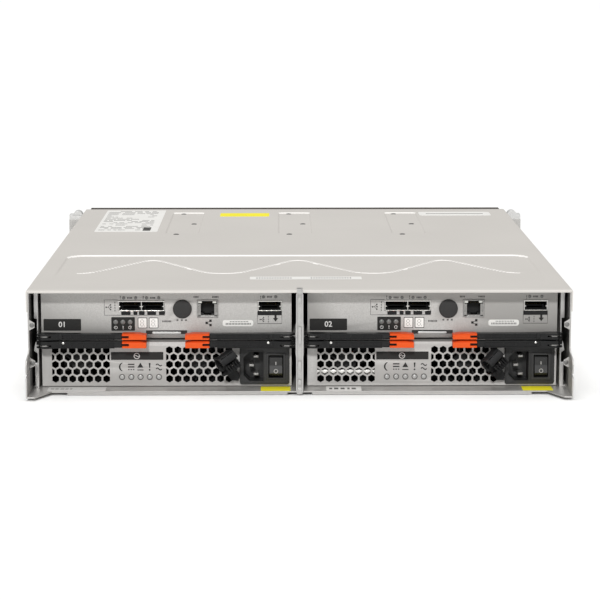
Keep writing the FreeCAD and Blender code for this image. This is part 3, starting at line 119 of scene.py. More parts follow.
# ---- materials ----
MATERIALS = {}
ROUGH_SPREAD = 0.08
GRAIN_HEIGHT = 0.0002                     # metres
WEAR_STARTS, WEAR_ENDS = 0.52, 0.60       # pointiness of an edge


def feed(tree, made, inputs):
    """Links each input that is given a socket and writes any other value on the input itself."""
    for key, value in inputs.items():
        if isinstance(value, bpy.types.NodeSocket):
            tree.links.new(value, made.inputs[key])
        else:
            made.inputs[key].default_value = value


def node(tree, kind, inputs, operation=None, data_type=None):
    made = tree.nodes.new(kind)
    if operation:
        made.operation = operation
    if data_type:
        made.data_type = data_type
    feed(tree, made, inputs)
    return made


def mix(tree, factor, first, second, data_type="RGBA"):
    made = node(tree, "ShaderNodeMix", {"Factor": factor, "A": first, "B": second}, data_type=data_type)
    return made.outputs["Result"]


def surface(name, colour, rough, metallic, spread, spot, bump, grain=1400, stretch=(1, 1, 1),
            wear=0, wear_colour=(0.8, 0.79, 0.77), specular=0.5, coat=0):
    """Procedural finish: cloudy colour, uneven roughness, fine grain and lighter worn edges."""
    mat = MATERIALS[name] = bpy.data.materials.new(name)
    mat.use_nodes = True
    tree = mat.node_tree
    place = node(tree, "ShaderNodeTexCoord", {}).outputs["Object"]
    place = node(tree, "ShaderNodeMapping", {"Vector": place, "Scale": stretch}).outputs["Vector"]
    clouds, fine = (
        node(tree, "ShaderNodeTexNoise", {"Vector": place, "Scale": scale, "Detail": detail}).outputs["Fac"]
        for scale, detail in ((spot, 5), (grain, 3)))
    low = [max(0, c * (1 - spread)) for c in colour]
    high = [min(1, c * (1 + spread)) for c in colour]
    paint = mix(tree, clouds, (*low, 1), (*high, 1))
    if wear:
        edge = node(tree, "ShaderNodeMapRange", {
            "Value": node(tree, "ShaderNodeNewGeometry", {}).outputs["Pointiness"],
            "From Min": WEAR_STARTS, "From Max": WEAR_ENDS, "To Max": wear}).outputs["Result"]
        paint = mix(tree, combine(tree, "MULTIPLY", edge, fine), paint, (*wear_colour, 1))
    gloss = node(tree, "ShaderNodeMapRange", {
        "Value": clouds, "To Min": max(0.03, rough - ROUGH_SPREAD), "To Max": min(1, rough + ROUGH_SPREAD)})
    inputs = {"Metallic": metallic, "Specular IOR Level": specular, "Coat Weight": coat,
              "Base Color": paint, "Roughness": gloss.outputs["Result"]}
    if bump:
        relief = node(tree, "ShaderNodeBump", {"Strength": bump, "Distance": GRAIN_HEIGHT, "Height": fine})
        inputs["Normal"] = relief.outputs["Normal"]
    feed(tree, tree.nodes["Principled BSDF"], inputs)


# Colour, roughness, metal, spread of the colour, scale of the clouds, bump, and what else differs.
LOOKS = {
    "floor_paper": ((0.95, 0.95, 0.945), 0.85, 0, 0.004, 2, 0, {}),
    "cover_paint": ((0.585, 0.562, 0.53), 0.58, 0, 0.03, 9, 0.05, dict(specular=0.12, wear=0.5)),
    # A lighter, glossier copy of the cover paint for the pressed slopes: a painted highlight.
    "cover_rubbed": ((0.88, 0.86, 0.83), 0.40, 0, 0.03, 9, 0.05, dict(specular=0.12, wear=0.5)),
    "canister_paint": ((0.345, 0.335, 0.32), 0.46, 0.25, 0.04, 22, 0.05, dict(wear=0.6)),
    # A lighter copy of the canister paint for the power faces: painted light from the floor's bounce.
    "power_paint": ((0.42, 0.41, 0.395), 0.46, 0.25, 0.04, 22, 0.05, dict(wear=0.6)),
    "housing_paint": ((0.345, 0.335, 0.32), 0.60, 0.08, 0.04, 22, 0.05, dict(specular=0.15, wear=0.6)),
    "chassis_zinc": ((0.42, 0.41, 0.395), 0.42, 0.55, 0.12, 60, 0.06, dict(wear=0.7)),
    "guide_steel": ((0.47, 0.465, 0.455), 0.33, 0.75, 0.12, 45, 0.08, dict(stretch=(6, 1, 1), wear=0.6)),
    "divider_steel": ((0.31, 0.305, 0.295), 0.36, 0.6, 0.15, 60, 0.08, dict(wear=0.8)),
    "stud_steel": ((0.17, 0.168, 0.163), 0.48, 0.5, 0.12, 150, 0.03, {}),
    "bright_pin": ((0.78, 0.77, 0.74), 0.20, 1, 0.08, 150, 0.03, {}),
    "port_plating": ((0.62, 0.61, 0.58), 0.24, 0.95, 0.10, 120, 0.04, dict(wear=0.3)),
    "port_dark": ((0.20, 0.195, 0.185), 0.34, 0.8, 0.2, 150, 0.05, dict(wear=0.5)),
    "contact_gold": ((0.80, 0.56, 0.20), 0.25, 1, 0.08, 200, 0.02, {}),
    "black_moulding": ((0.011, 0.011, 0.0112), 0.42, 0, 0.2, 60, 0.12, dict(
        specular=0.20, grain=2600, wear=0.10, wear_colour=(0.10, 0.10, 0.10))),
    "soft_black": ((0.010, 0.010, 0.0104), 0.46, 0, 0.2, 60, 0.15, dict(specular=0.22, grain=2200)),
    "deep_black": ((0.006, 0.006, 0.006), 0.70, 0, 0.2, 100, 0, {}),
    "inlet_black": ((0.024, 0.024, 0.024), 0.42, 0, 0.15, 60, 0.10, dict(
        specular=0.32, grain=2600, wear=0.2, wear_colour=(0.14, 0.14, 0.14))),
    "plug_grey": ((0.035, 0.0345, 0.034), 0.6, 0, 0.12, 60, 0.12, dict(specular=0.2)),
    "bezel_brown": ((0.045, 0.036, 0.030), 0.5, 0, 0.15, 40, 0.06, dict(specular=0.25)),
    "drive_dark": ((0.038, 0.034, 0.031), 0.42, 0, 0.18, 40, 0.08, dict(
        wear=0.3, wear_colour=(0.20, 0.19, 0.18))),
    "latch_orange": ((0.66, 0.064, 0.006), 0.45, 0, 0.06, 70, 0.05, dict(
        specular=0.12, grain=2400, wear=0.25, wear_colour=(1.0, 0.26, 0.08))),
    "board_green": ((0.020, 0.11, 0.055), 0.42, 0, 0.25, 260, 0.10, dict(coat=0.3)),
    "cap_grey": ((0.60, 0.60, 0.59), 0.48, 0, 0.04, 40, 0.08, dict(wear=0.2)),
    "label_dark": ((0.020, 0.0195, 0.0185), 0.55, 0, 0.10, 50, 0.03, dict(specular=0.22)),
    "label_white": ((0.83, 0.82, 0.79), 0.52, 0, 0.03, 50, 0.02, {}),
    "label_pale": ((0.66, 0.65, 0.63), 0.50, 0, 0.03, 60, 0.02, {}),
    "label_silver": ((0.40, 0.39, 0.375), 0.40, 0, 0.05, 60, 0.02, {}),
    "label_yellow": ((0.95, 0.85, 0.02), 0.48, 0, 0.05, 50, 0.02, {}),
    "ink_dark": ((0.030, 0.029, 0.028), 0.65, 0, 0.15, 300, 0, dict(specular=0.2)),
    "ink_grey": ((0.11, 0.108, 0.103), 0.65, 0, 0.15, 300, 0, dict(specular=0.25)),
    "ink_light": ((0.72, 0.71, 0.69), 0.55, 0, 0.05, 300, 0, {}),
    "lens_grey": ((0.16, 0.16, 0.155), 0.28, 0, 0.10, 200, 0, dict(coat=0.4)),
    "lens_clear": ((0.42, 0.42, 0.41), 0.16, 0, 0.06, 200, 0, dict(coat=0.6)),
    "lens_lit": ((0.78, 0.79, 0.74), 0.20, 0, 0.05, 200, 0, dict(coat=0.5)),
}
SLOT_LOOKS = {
    "chassis_steel": "chassis_zinc", "cover_steel": "cover_paint", "bright_steel": "guide_steel",
    "canister_steel": "canister_paint", "black_plastic": "black_moulding", "latch_orange": "latch_orange",
    "port_metal": "port_plating", "circuit_board": "board_green", "cap_plastic": "cap_grey",
    "drive_black": "drive_dark",
}
EDGE_WIDTH, EDGE_WIDTHS = 0.25, {"bay_guides": 0.35, "center_divider": 0.35, "chassis_tray": 0.3}
SHARP = math.radians(35)
SAME_PLACE, SAME_PLANE = 0.000005, math.radians(0.6)      # metres, and the lean between two faces


def make_materials():
    for name, (*finish, extras) in LOOKS.items():
        surface(name, *finish, **extras)


def paint_node(name, look):
    for slot in NODES[name].material_slots:
        slot.material = MATERIALS[look]


def dress_nodes():
    """Each CAD node takes the look of its slot, and rounded edges on a cleaned mesh."""
    for part in frame["record"]["subparts"]:
        name = part["node"]
        obj = NODES[name]
        paint_node(name, SLOT_LOOKS[part["material_slot"]])
        obj.modifiers.new("merge", "WELD").merge_threshold = SAME_PLACE
        if "_lever_" not in obj.name:
            flat = obj.modifiers.new("flat", "DECIMATE")
            flat.decimate_type = "DISSOLVE"
            flat.angle_limit = SAME_PLANE
        round_edges(obj, EDGE_WIDTHS.get(name, EDGE_WIDTH))


def round_edges(obj, width):
    bevel = obj.modifiers.new("edges", "BEVEL")
    bevel.width = width * MM
    bevel.segments = 2
    bevel.limit_method = "ANGLE"
    bevel.angle_limit = SHARP
    bevel.use_clamp_overlap = True
    bevel.harden_normals = True


def combine(tree, operation, first, second):
    if first is None:
        return second
    return node(tree, "ShaderNodeMath", {0: first, 1: second}, operation).outputs["Value"]


def zone(name, base, inner, boxes, specular=0.5):
    """A look that changes to the inner (colour, roughness, metal) inside boxes in millimetres."""
    mat = MATERIALS[name] = MATERIALS[base].copy()
    mat.name = name
    tree = mat.node_tree
    shader = tree.nodes["Principled BSDF"]
    place = node(tree, "ShaderNodeTexCoord", {}).outputs["Object"]
    parts = node(tree, "ShaderNodeSeparateXYZ", {"Vector": place})
    found = None
    for bounds in boxes:
        inside = None
        for index, axis in enumerate("XYZ"):
            low, high = bounds[2 * index] * MM, bounds[2 * index + 1] * MM
            compare = node(tree, "ShaderNodeMath", {
                0: parts.outputs[axis], 1: (low + high) / 2, 2: (high - low) / 2}, "COMPARE")
            inside = combine(tree, "MULTIPLY", inside, compare.outputs["Value"])
        found = combine(tree, "MAXIMUM", found, inside)
    colour, rough, metallic = inner
    paint, finish = (shader.inputs[key].links[0].from_socket for key in ("Base Color", "Roughness"))
    metal = shader.inputs["Metallic"].default_value
    feed(tree, shader, {
        "Specular IOR Level": specular,
        "Base Color": mix(tree, found, paint, (*colour, 1)),
        "Roughness": mix(tree, found, finish, rough, "FLOAT"),
        "Metallic": mix(tree, found, metal, metallic, "FLOAT")})
    return name


# Colour, roughness and metal of the pieces that share a node with others.
# Near-black: the own colour of the midplane's plugs, and painted shade inside the power housings.
PLUG_BLACK_AND_PAINTED_SHADE = ((0.006, 0.006, 0.006), 0.6, 0)
ALLOY = ((0.40, 0.40, 0.39), 0.56, 0.3)
# Darker tone for the tray's rear side tabs: painted shade.
TAB_PAINTED_SHADE = ((0.095, 0.093, 0.09), 0.46, 0.4)
WIDE, DEEP, TALL = (-300, 300), (-400, 400), (0, 90)      # reach past every piece
SINK_FOOT, TAB_X, TAB_HALF, DRIVE_HALF = 61.6, 218.85, 2.85, 51
BOARD_REAR, BOARD_FRONT = FACE + 281.6, FACE + 284.8


def dress_insides():
    """Nodes that hold pieces of more than one colour."""
    for name in NODES:
        if "_fan_" in name:
            paint_node(name, "deep_black")
        if name.endswith(("_inlet", "_rocker")):
            paint_node(name, "inlet_black")
        # The power faces take the lighter copy of the canister paint: painted light.
        if name.startswith("psu_") and name.endswith("_faceplate"):
            paint_node(name, "power_paint")
    paint_node("center_divider", "divider_steel")
    heat_sink = zone("esm_board_look", "board_green", ALLOY, [(*WIDE, *DEEP, SINK_FOOT, 90)])
    for side, _ in MODULES:
        name = "psu_" + side
        x0, x1, y0, y1, z0, z1 = box_mm(name + "_housing")
        # The inside of each power housing is painted near-black: painted shade.
        inside = [(x0 + 0.6, x1 - 0.6, y0 - 1, y1 - 1.6, z0 + 0.6, z1 - 0.6)]
        paint_node(name + "_housing", zone(name + "_inside", "housing_paint", PLUG_BLACK_AND_PAINTED_SHADE, inside, 0.1))
        paint_node("esm_" + side + "_housing", "housing_paint")
        paint_node("esm_" + side + "_board", heat_sink)
    # The tray's rear side tabs are painted darker: painted shade.
    tabs = [(x - TAB_HALF, x + TAB_HALF, REAR + 0.4, REAR + 45, 6, 84) for x in (-TAB_X, TAB_X)]
    paint_node("chassis_tray", zone("tray_look", "chassis_zinc", TAB_PAINTED_SHADE, tabs))
    y0, y1 = box_mm("midplane_board")[2:4]
    plugs = [(*WIDE, y0 - 1, BOARD_REAR, *TALL), (*WIDE, BOARD_FRONT, y1 + 1, *TALL)]
    paint_node("midplane_board", zone("midplane_look", "board_green", PLUG_BLACK_AND_PAINTED_SHADE, plugs))
    for name in DRIVES:
        x0, x1, y0 = box_mm(name)[:3]
        middle = (x0 + x1) / 2
        body = [(middle - DRIVE_HALF, middle + DRIVE_HALF, y0 - 1, FRONT - 20, *TALL)]
        paint_node(name, zone(name + "_look", "drive_dark", ALLOY, body))


# ---- mesh pieces ----
AXES = {"x": (1, 2, 0), "y": (0, 2, 1), "z": (0, 1, 2)}


def point(axis, u, v, w):
    """Point whose two plane values are u and v and whose place along the axis is w."""
    iu, iv, iw = AXES[axis]
    place = [0.0, 0.0, 0.0]
    place[iu], place[iv], place[iw] = u, v, w
    return Vector(place)


def rectangle(u0, u1, v0, v1):
    return [(u0, v0), (u1, v0), (u1, v1), (u0, v1)]


def rounded(u0, u1, v0, v1, radius, steps=4):
    """Corners of a rectangle with round corners."""
    points = []
    corners = ((u1 - radius, v1 - radius, 0), (u0 + radius, v1 - radius, 90),
               (u0 + radius, v0 + radius, 180), (u1 - radius, v0 + radius, 270))
    for cu, cv, turn in corners:
        for step in range(steps + 1):
            angle = math.radians(turn + 90 * step / steps)
            points.append((cu + radius * math.cos(angle), cv + radius * math.sin(angle)))
    return points


def circle(u, v, radius, sides, start=0, span=360):
    """Points of a circle, or of an arc when the span is less than a full turn."""
    angles = [math.radians(start + span * i / sides) for i in range(sides + (span < 360))]
    return [(u + radius * math.cos(angle), v + radius * math.sin(angle)) for angle in angles]


class Piece:
    """Collects simple solids of one body in one mesh, in millimetres from a place in the row frame."""

    def __init__(self, body="chassis", place=(0, 0, 0), turn=Matrix.Identity(4)):
        self.body = body
        self.bm = bmesh.new()
        self.turn = Matrix.Translation(place) @ turn

    def loops(self, rings, close=False):
        """Skin over rings of as many points each."""
        made = [[self.bm.verts.new((self.turn @ Vector(p)) * MM) for p in ring] for ring in rings]
        count = len(made[0])
        pairs = list(zip(made, made[1:]))
        if close:
            pairs.append((made[-1], made[0]))
        for low, high in pairs:
            for i in range(count):
                j = (i + 1) % count
                self.bm.faces.new((low[i], low[j], high[j], high[i]))
        if not close:
            self.bm.faces.new(made[0][::-1])
            self.bm.faces.new(made[-1])
        return self

    def skin(self, lines, axis, close=False):
        """Skin over outlines in the plane of an axis: each is (outline, place along the axis)."""
        return self.loops([[point(axis, u, v, w) for u, v in outline] for outline, w in lines], close)

    def prism(self, outline, axis, a, b):
        return self.skin([(outline, a), (outline, b)], axis)

    def block(self, x0, x1, y0, y1, z0, z1):
        return self.prism(rectangle(x0, x1, z0, z1), "y", y0, y1)

    def lathe(self, axis, u, v, profile, sides, close=False):
        """Rings of (radius, place along the axis)."""
        return self.skin([(circle(u, v, max(r, 0.01), sides), w) for r, w in profile], axis, close)

    def hoop(self, outer, inner, axis, a, b):
        """Closed frame between two outlines of as many points each."""
        return self.skin([(outer, a), (outer, b), (inner, b), (inner, a)], axis, close=True)

    def band(self, outline, inset, axis, a, b):
        """Closed frame between an outline and the same outline drawn in by inset."""
        cu, cv = (sum(p[i] for p in outline) / len(outline) for i in (0, 1))
        ru, rv = (max(abs(p[i] - c) for p in outline) for i, c in ((0, cu), (1, cv)))
        inner = [(cu + (u - cu) * (ru - inset) / ru, cv + (v - cv) * (rv - inset) / rv) for u, v in outline]
        return self.hoop(outline, inner, axis, a, b)

    def line(self, points, width, a, b, closed=False):
        """Flat stroke of even width along a polyline that faces the rear."""
        count = len(points)
        rings = []
        for i, here in enumerate(points):
            back = Vector(points[(i - 1) % count] if closed or i else points[0])
            ahead = Vector(points[(i + 1) % count] if closed or i < count - 1 else points[-1])
            way = (ahead - back).normalized()
            normal = Vector((-way.y, way.x)) * width / 2
            left, right = Vector(here) + normal, Vector(here) - normal
            rings.append([point("y", *left, a), point("y", *right, a), point("y", *right, b),
                          point("y", *left, b)])
        return self.loops(rings, close=closed)

    def text(self, words, u, v, w, size, depth, bold):
        """Plain numbers that face the rear, centred at u, v."""
        curve = bpy.data.curves.new("text", "FONT")
        curve.body = words
        curve.size = size
        curve.extrude = depth / 2
        curve.offset = bold
        curve.align_x = "CENTER"
        curve.align_y = "CENTER"
        curve.resolution_u = 3
        holder = show("text", curve)
        bpy.context.view_layer.update()
        mesh = bpy.data.meshes.new_from_object(holder.evaluated_get(bpy.context.evaluated_depsgraph_get()))
        place = Matrix.Translation((u, w, v)) @ Matrix.Rotation(math.pi / 2, 4, "X")
        mesh.transform(Matrix.Scale(MM, 4) @ self.turn @ place)
        self.bm.from_mesh(mesh)
        bpy.data.objects.remove(holder)
        bpy.data.meshes.remove(mesh)
        bpy.data.curves.remove(curve)

    def done(self, name, look, slot, edge=0, smooth=True):
        """Makes the object; a name that starts with an underscore follows the name of its body."""
        if name.startswith("_"):
            name = self.body + name
        bmesh.ops.recalc_face_normals(self.bm, faces=self.bm.faces)
        mesh = bpy.data.meshes.new(name)
        self.bm.to_mesh(mesh)
        self.bm.free()
        for polygon in mesh.polygons:
            polygon.use_smooth = smooth
        if smooth:
            mesh.set_sharp_from_angle(angle=SHARP)
        obj = show(name, mesh)
        mesh.materials.append(MATERIALS[look])
        if edge:
            round_edges(obj, edge)
        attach(obj, self.body)
        return obj


# ---- cover: d is a distance from its rear edge ----
WAVE_HALF_PITCH = 64.85
WAVE_LOW, WAVE_HIGH = 96, 174
WAVE_RADII = (23, 7)
WAVE_END, WAVE_FADE = 196, 12
BEAD_DEPTH, BEAD_WIDTH, BEAD_REACH = 1.0, 1.45, 6
FIELD_DEPTH, FIELD_HALF, FIELD_END, FIELD_LENGTH, FIELD_CORNER = 1.05, 208, 200, 600, 16
FIELD_START, FIELD_RUN, FIELD_SLOPE = 40, 90, 2.2
CHANNEL_DEPTH, CHANNEL_MIDDLE, CHANNEL_LENGTH, CHANNEL_CORNER, CHANNEL_SLOPE = 0.95, 428.5, 163, 4, 1.8
CHANNELS = ((-128, -96, -110.2), (-17.5, 15, 0), (94, 126.5, 110.2))      # both sides, screw line
SCREW_ROWS = ((339, -7), (423, 7), (504, -7))                             # d, and step off the line
SKIRT, SHEET = 18, 1.2
ACROSS = ((-HALF + SHEET, 0), (-210.5, 2.5), (-205.5, 0.7), (-130, 2.4), (-126, 0.55), (-98, 2.4),
          (-94, 0.55), (-19.5, 2.4), (-15.5, 0.55), (13, 2.4), (17, 0.55), (92, 2.4), (96, 0.55),
          (124.5, 2.4), (128.5, 0.55), (205.5, 2.4), (210.5, 0.7), (HALF - SHEET, 2.5))
ALONG = ((1, 0), (40, 8), (88, 2), (182, 0.8), (196, 2), (203, 0.45), (344, 12), (350, 0.6), (507, 10),
         (513, 0.6), (FRONT - REAR - 1, 9))


def smooth(value):
    value = min(max(value, 0), 1)
    return value * value * (3 - 2 * value)


def bend(radius, away):
    """Rise and slope of a round bend at a distance from its middle."""
    left = radius ** 2 - away ** 2
    return radius - math.sqrt(left), away / math.sqrt(max(left, 0.01))


def wave_line(x):
    """Distance of the wavy bead from the rear edge, and its slope, at a place across the cover."""
    low_radius, high_radius = WAVE_RADII
    gap = WAVE_HIGH - WAVE_LOW - low_radius - high_radius
    slope = math.atan2(gap, WAVE_HALF_PITCH) \
        + math.asin((low_radius + high_radius) / math.hypot(WAVE_HALF_PITCH, gap))
    # A crest lies at x = 0, so along is counted from the nearest crest to the nearest trough.
    along = (x + 6 * WAVE_HALF_PITCH) % (2 * WAVE_HALF_PITCH)
    along = min(along, 2 * WAVE_HALF_PITCH - along)
    back = WAVE_HALF_PITCH - along
    if along < high_radius * math.sin(slope):
        drop, lean = bend(high_radius, along)
        return WAVE_HIGH - drop, lean
    if back < low_radius * math.sin(slope):
        lift, lean = bend(low_radius, back)
        return WAVE_LOW + lift, lean
    start = WAVE_HIGH - high_radius + high_radius * math.cos(slope)
    return start - (along - high_radius * math.sin(slope)) * math.tan(slope), math.tan(slope)


def corner_distance(x, y, half_x, half_y, radius):
    """Signed distance to a rectangle with round corners about the origin, negative inside."""
    qx = abs(x) - (half_x - radius)
    qy = abs(y) - (half_y - radius)
    return math.hypot(max(qx, 0), max(qy, 0)) + min(max(qx, qy), 0) - radius


def cover_height(x, d):
    """Height of the pressed sheet against its plain level."""
    edge = corner_distance(x, d - FIELD_END + FIELD_LENGTH / 2, FIELD_HALF, FIELD_LENGTH / 2, FIELD_CORNER)
    height = -FIELD_DEPTH * smooth((d - FIELD_START) / FIELD_RUN) * smooth(0.5 - edge / FIELD_SLOPE)
    middle, slope = wave_line(x)
    away = abs(d - middle) / math.hypot(1, slope)
    if away < BEAD_REACH:
        height -= BEAD_DEPTH * smooth((WAVE_END - abs(x)) / WAVE_FADE) * math.exp(-(away / BEAD_WIDTH) ** 2)
    for low, high, _ in CHANNELS:
        edge = corner_distance(x - (low + high) / 2, d - CHANNEL_MIDDLE, (high - low) / 2,
                               CHANNEL_LENGTH / 2, CHANNEL_CORNER)
        height -= CHANNEL_DEPTH * smooth(0.5 - edge / CHANNEL_SLOPE)
    return height


def places(stops):
    """Places along a line: each stop is (end, step)."""
    made = [stops[0][0]]
    for end, step in stops[1:]:
        start = made[-1]
        count = max(1, round((end - start) / step))
        made += [start + (end - start) * (i + 1) / count for i in range(count)]
    return made


def make_cover():
    across = places(ACROSS)
    length = FRONT - REAR
    foot = TOP - SKIRT
    rings = []
    for d in [0, 0.12, 0.4] + places(ALONG) + [length - 0.3, length]:
        near = min(d, length - d)
        sag = 0.9 * (1 - math.sqrt(max(0, 1 - (1 - near) ** 2))) if near < 1 else 0
        top = [(x, TOP + cover_height(x, d) - sag) for x in across]
        right = [(HALF - inset, z) for inset, z in (
            (0.5, TOP - 0.22 - sag), (0.12, TOP - 0.6 - sag), (0, TOP - SHEET - sag), (0, foot + 0.3),
            (0.3, foot), (0.9, foot), (SHEET, foot + 0.3), (SHEET, TOP - SHEET - sag))]
        level = TOP - 2 - 1.3 * smooth((near - 4) / 6)
        under = [(x, level) for x in (215, 110, 0, -110, -215)]
        left = [(-x, z) for x, z in reversed(right)]
        rings.append([(x, REAR + d, z) for x, z in top + right + under + left])
    piece = Piece().loops(rings)
    for x0, x1 in ((-220.5, -9), (9, 220.5)):
        piece.block(x0, x1, REAR + 0.05, REAR + 1.2, TOP - 2.1, TOP - 1.1)
    cover = piece.done("cover_sheet", "cover_paint", "cover_steel")
    # Pressed slopes that face the rear take a lighter, glossier copy of the paint: a painted highlight.
    cover.data.materials.append(MATERIALS["cover_rubbed"])
    for polygon in cover.data.polygons:
        x, y, z = polygon.normal
        if y < -0.09 and 0.2 < math.hypot(x, y) < 0.95 and z > 0.3 and polygon.center.y > (REAR + 40) * MM:
            polygon.material_index = 1
    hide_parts("top_cover")


HEAD_HEIGHT = 0.8
HEAD = ((0.98, 0), (1, 0.15), (0.93, 0.48), (0.62, 0.76), (0.52, HEAD_HEIGHT))   # share of the radius
CROSS = ((0.42, 0.09), (-0.42, 0.09), (-0.42, -0.09), (0.42, -0.09))
COVER_SCREW, STUD = 2.8, 1.95
STUD_X, STUD_HEIGHTS = 218.9, (26.8, 58.4)


def make_fixings():
    """Cover screws with a cross recess, and the studs at the rear corners."""
    piece = Piece()
    for _, _, line_x in CHANNELS:
        for d, step in SCREW_ROWS:
            x, y = line_x + step, REAR + d
            z = TOP + cover_height(x, d) - 0.1
            piece.lathe("z", x, y, [(COVER_SCREW * share, z + h) for share, h in HEAD], 20)
            top = z + HEAD_HEIGHT
            for turn in (20, 110):
                spin = Matrix.Rotation(math.radians(turn), 2)
                arm = [spin @ (Vector(p) * COVER_SCREW) for p in CROSS]
                piece.prism([(v.x + x, v.y + y) for v in arm], "z", top - 0.05, top + 0.02)
    for x in (-STUD_X, STUD_X):
        for z in STUD_HEIGHTS:
            piece.lathe("y", x, z, [(STUD * share, REAR - h) for share, h in HEAD], 20)
    studs = piece.done("fixing_heads", "stud_steel", "bright_steel")
    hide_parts("chassis_screws")


def make_front_lip():
    """Dark bezel edge that shows beyond the front of the cover."""
    lip = Piece().block(-219, 219, FRONT - 0.6, FRONT + 17, TOP - 2, TOP - 0.5)
    lip.done("front_lip", "bezel_brown", "drive_black", edge=0.4)


STICKER = 0.10


def flat_label(name, look, x0, x1, d0, d1, z, radius, marks=(), ink="ink_grey"):
    """Sticker on an upward face, with plain ruled marks (x0, x1, d0, d1)."""
    place = (0, REAR, z)
    sticker = Piece(place=place).prism(rounded(x0, x1, d0, d1, radius), "z", 0, STICKER)
    sticker.done(name, look, None, smooth=False)
    if marks:
        piece = Piece(place=place)
        for u0, u1, v0, v1 in marks:
            piece.block(u0, u1, v0, v1, STICKER - 0.02, STICKER + 0.03)
        piece.done(name + "_marks", ink, None, smooth=False)


def make_cover_labels():
    dice = random.Random(7)
    marks = []
    for row in range(17):
        d = 371 + row * 9.2
        x = -196
        while x < -146:
            run = dice.uniform(2.5, 13)
            if dice.random() < 0.72:
                marks.append((x, min(x + run, -144), d, d + 2.4))
            x += run + dice.uniform(1.2, 4.5)
    marks.append((-152, -144.5, 366, 392))
    flat_label("spec_label", "label_white", -199, -137, 359, 529, TOP, 2, marks)
    flat_label("yellow_strip", "label_yellow", -78.5, -27.4, 477, 504, TOP, 1)
    flat_label("asset_strip", "label_white", 129.5, 204.3, 483.5, 513.5, TOP, 4, [(137, 197, 497, 500)])
    ticks = [(x + 2.2 * i, x + 1 + 2.2 * i, 62, 67)
             for x, count in ((-36, 14), (10, 16)) for i in range(count)]
    flat_label("serial_strip", "label_white", -41.6, 53, 57, 72, TOP, 1.5, ticks)
    tray_floor = box_mm("psu_left_housing")[4] - 0.3
    for name, x0, x1, look, ink in (("tray_sticker_1", -32.1, -7.6, "label_yellow", "ink_grey"),
                                    ("tray_sticker_2", 184, 209, "label_yellow", "ink_grey"),
                                    ("tray_label_1", -208, -160, "label_pale", "label_silver"),
                                    ("tray_label_2", 22, 51, "label_white", "ink_grey")):
        dashes = []
        x = x0 + 2.5
        while x < x1 - 4 and look != "label_yellow":
            run = dice.uniform(1.2, 3.6)
            dashes.append((x, x + run, 7, 13))
            x += run + dice.uniform(0.8, 2.4)
        flat_label(name, look, x0, x1, 1.5, 18.5, tray_floor, 0.8, dashes[:5], ink)


# ---- canister faces: y is measured from the face, which lies at FACE ----
ESM_TOP = box_mm("esm_left_faceplate")[5]
SAS_FOOT, SAS_TALL, SAS_WALL = ESM_TOP - 17.6, 8.3, 0.6
SAS_CAGES = ((-39.5, -1.6, 2), (75.7, 95.2, 1))                # both sides, and how many ports
JACK = (25.5, 42.6, ESM_TOP - 23.1, ESM_TOP - 8.4)
PLUG = (13.2, ESM_TOP - 16, 7.8)
DIGITS = ((-23.4, -16.2), (-14.2, -7))
DIGIT_FOOT, DIGIT_TOP = (box_mm("esm_left_faceplate")[4] + rise for rise in (5.3, 13.7))
# Outer and inner depth of marks, from the face.
INK, LABEL, PLATE, LIGHT_INK = (-0.10, 0.02), (-0.12, 0.02), (-0.18, 0.02), (-0.24, -0.1)


def pieces(count, body, place):
    return [Piece(body, place) for _ in range(count)]


def dot(piece, x, z, radius, sides, depths=INK):
    piece.prism(circle(x, z, radius, sides), "y", *depths)


def make_serial_ports(body, face):
    """Cages with spring fingers, a tongue and contacts, whose z is from the cages' foot; and tabs."""
    cage, liner, tongue, gold = pieces(4, body, (face[0], FACE, SAS_FOOT))
    for left, right, ports in SAS_CAGES:
        pitch = (right - left - SAS_WALL) / ports
        cage.block(left, right, -0.8, 22, 0, SAS_WALL)
        cage.block(left, right, -0.8, 22, SAS_TALL - SAS_WALL, SAS_TALL)
        cage.block(left, right, 21, 22, 0, SAS_TALL)
        cage.block(left - 0.5, right + 0.5, -1.1, -0.1, SAS_TALL - 0.5, SAS_TALL + 0.35)
        for i in range(ports + 1):
            x = left + i * pitch
            cage.block(x, x + SAS_WALL, -0.8, 22, 0, SAS_TALL)
        for i in range(ports):
            x0, x1 = left + i * pitch + SAS_WALL, left + (i + 1) * pitch
            mouth = (SAS_WALL, SAS_TALL - SAS_WALL)
            liner.band(rectangle(x0, x1, *mouth), 0.35, "y", 0.2, 20)
            liner.block(x0, x1, 19, 21.2, *mouth)
            tongue.block(x0 + 2.5, x1 - 2.5, 8, 20, 2.6, 3.6)
            for x in (x0 + 1.2, x1 - 2.6):
                tongue.block(x, x + 1.4, 7, 20, 0.6, 4.4)
            for k in range(13):
                x = x0 + 3.2 + k * (x1 - x0 - 7) / 12
                gold.block(x, x + 0.45, 12, 18, 3.55, 3.75)
            # Sprung fingers stand along the foot of the mouth and hang at its corners.
            for k in range(4):
                x = x0 + 2 + k * (x1 - x0 - 6) / 3
                cage.prism([(-1, -0.3), (-1.3, 0.3), (3, 0.9), (3.4, 0.4)], "x", x, x + 1.3)
            for x in (x0, x1 - 1):
                cage.block(x, x + 1, -0.9, 1.6, 3.4, 4.3)
    cages = cage.done("_serial_cages", "port_plating", "port_metal", edge=0.12)
    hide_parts(body + "_ports")
    liner.done("_serial_liners", "deep_black", "black_plastic")
    tongue.done("_serial_tongues", "soft_black", "black_plastic", edge=0.1)
    gold.done("_serial_contacts", "contact_gold", "port_metal", smooth=False)
    tabs = Piece(body, face)
    for u0, u1 in ((-37.3, -29.6), (-27.2, -23.9), (-15.8, -8.5), (-6.2, -1.4), (-22.6, -18)):
        tabs.prism(rounded(u0, u1, SAS_FOOT - 3.1, SAS_FOOT - 0.1, 0.5, 2), "y", -0.9, 0.05)
    tabs.prism(rounded(75.2, 95.4, SAS_FOOT - 3.7, SAS_FOOT - 0.1, 0.5, 2), "y", -0.5, 0.05)
    tabs.done("_port_tabs", "soft_black", "black_plastic", edge=0.2)


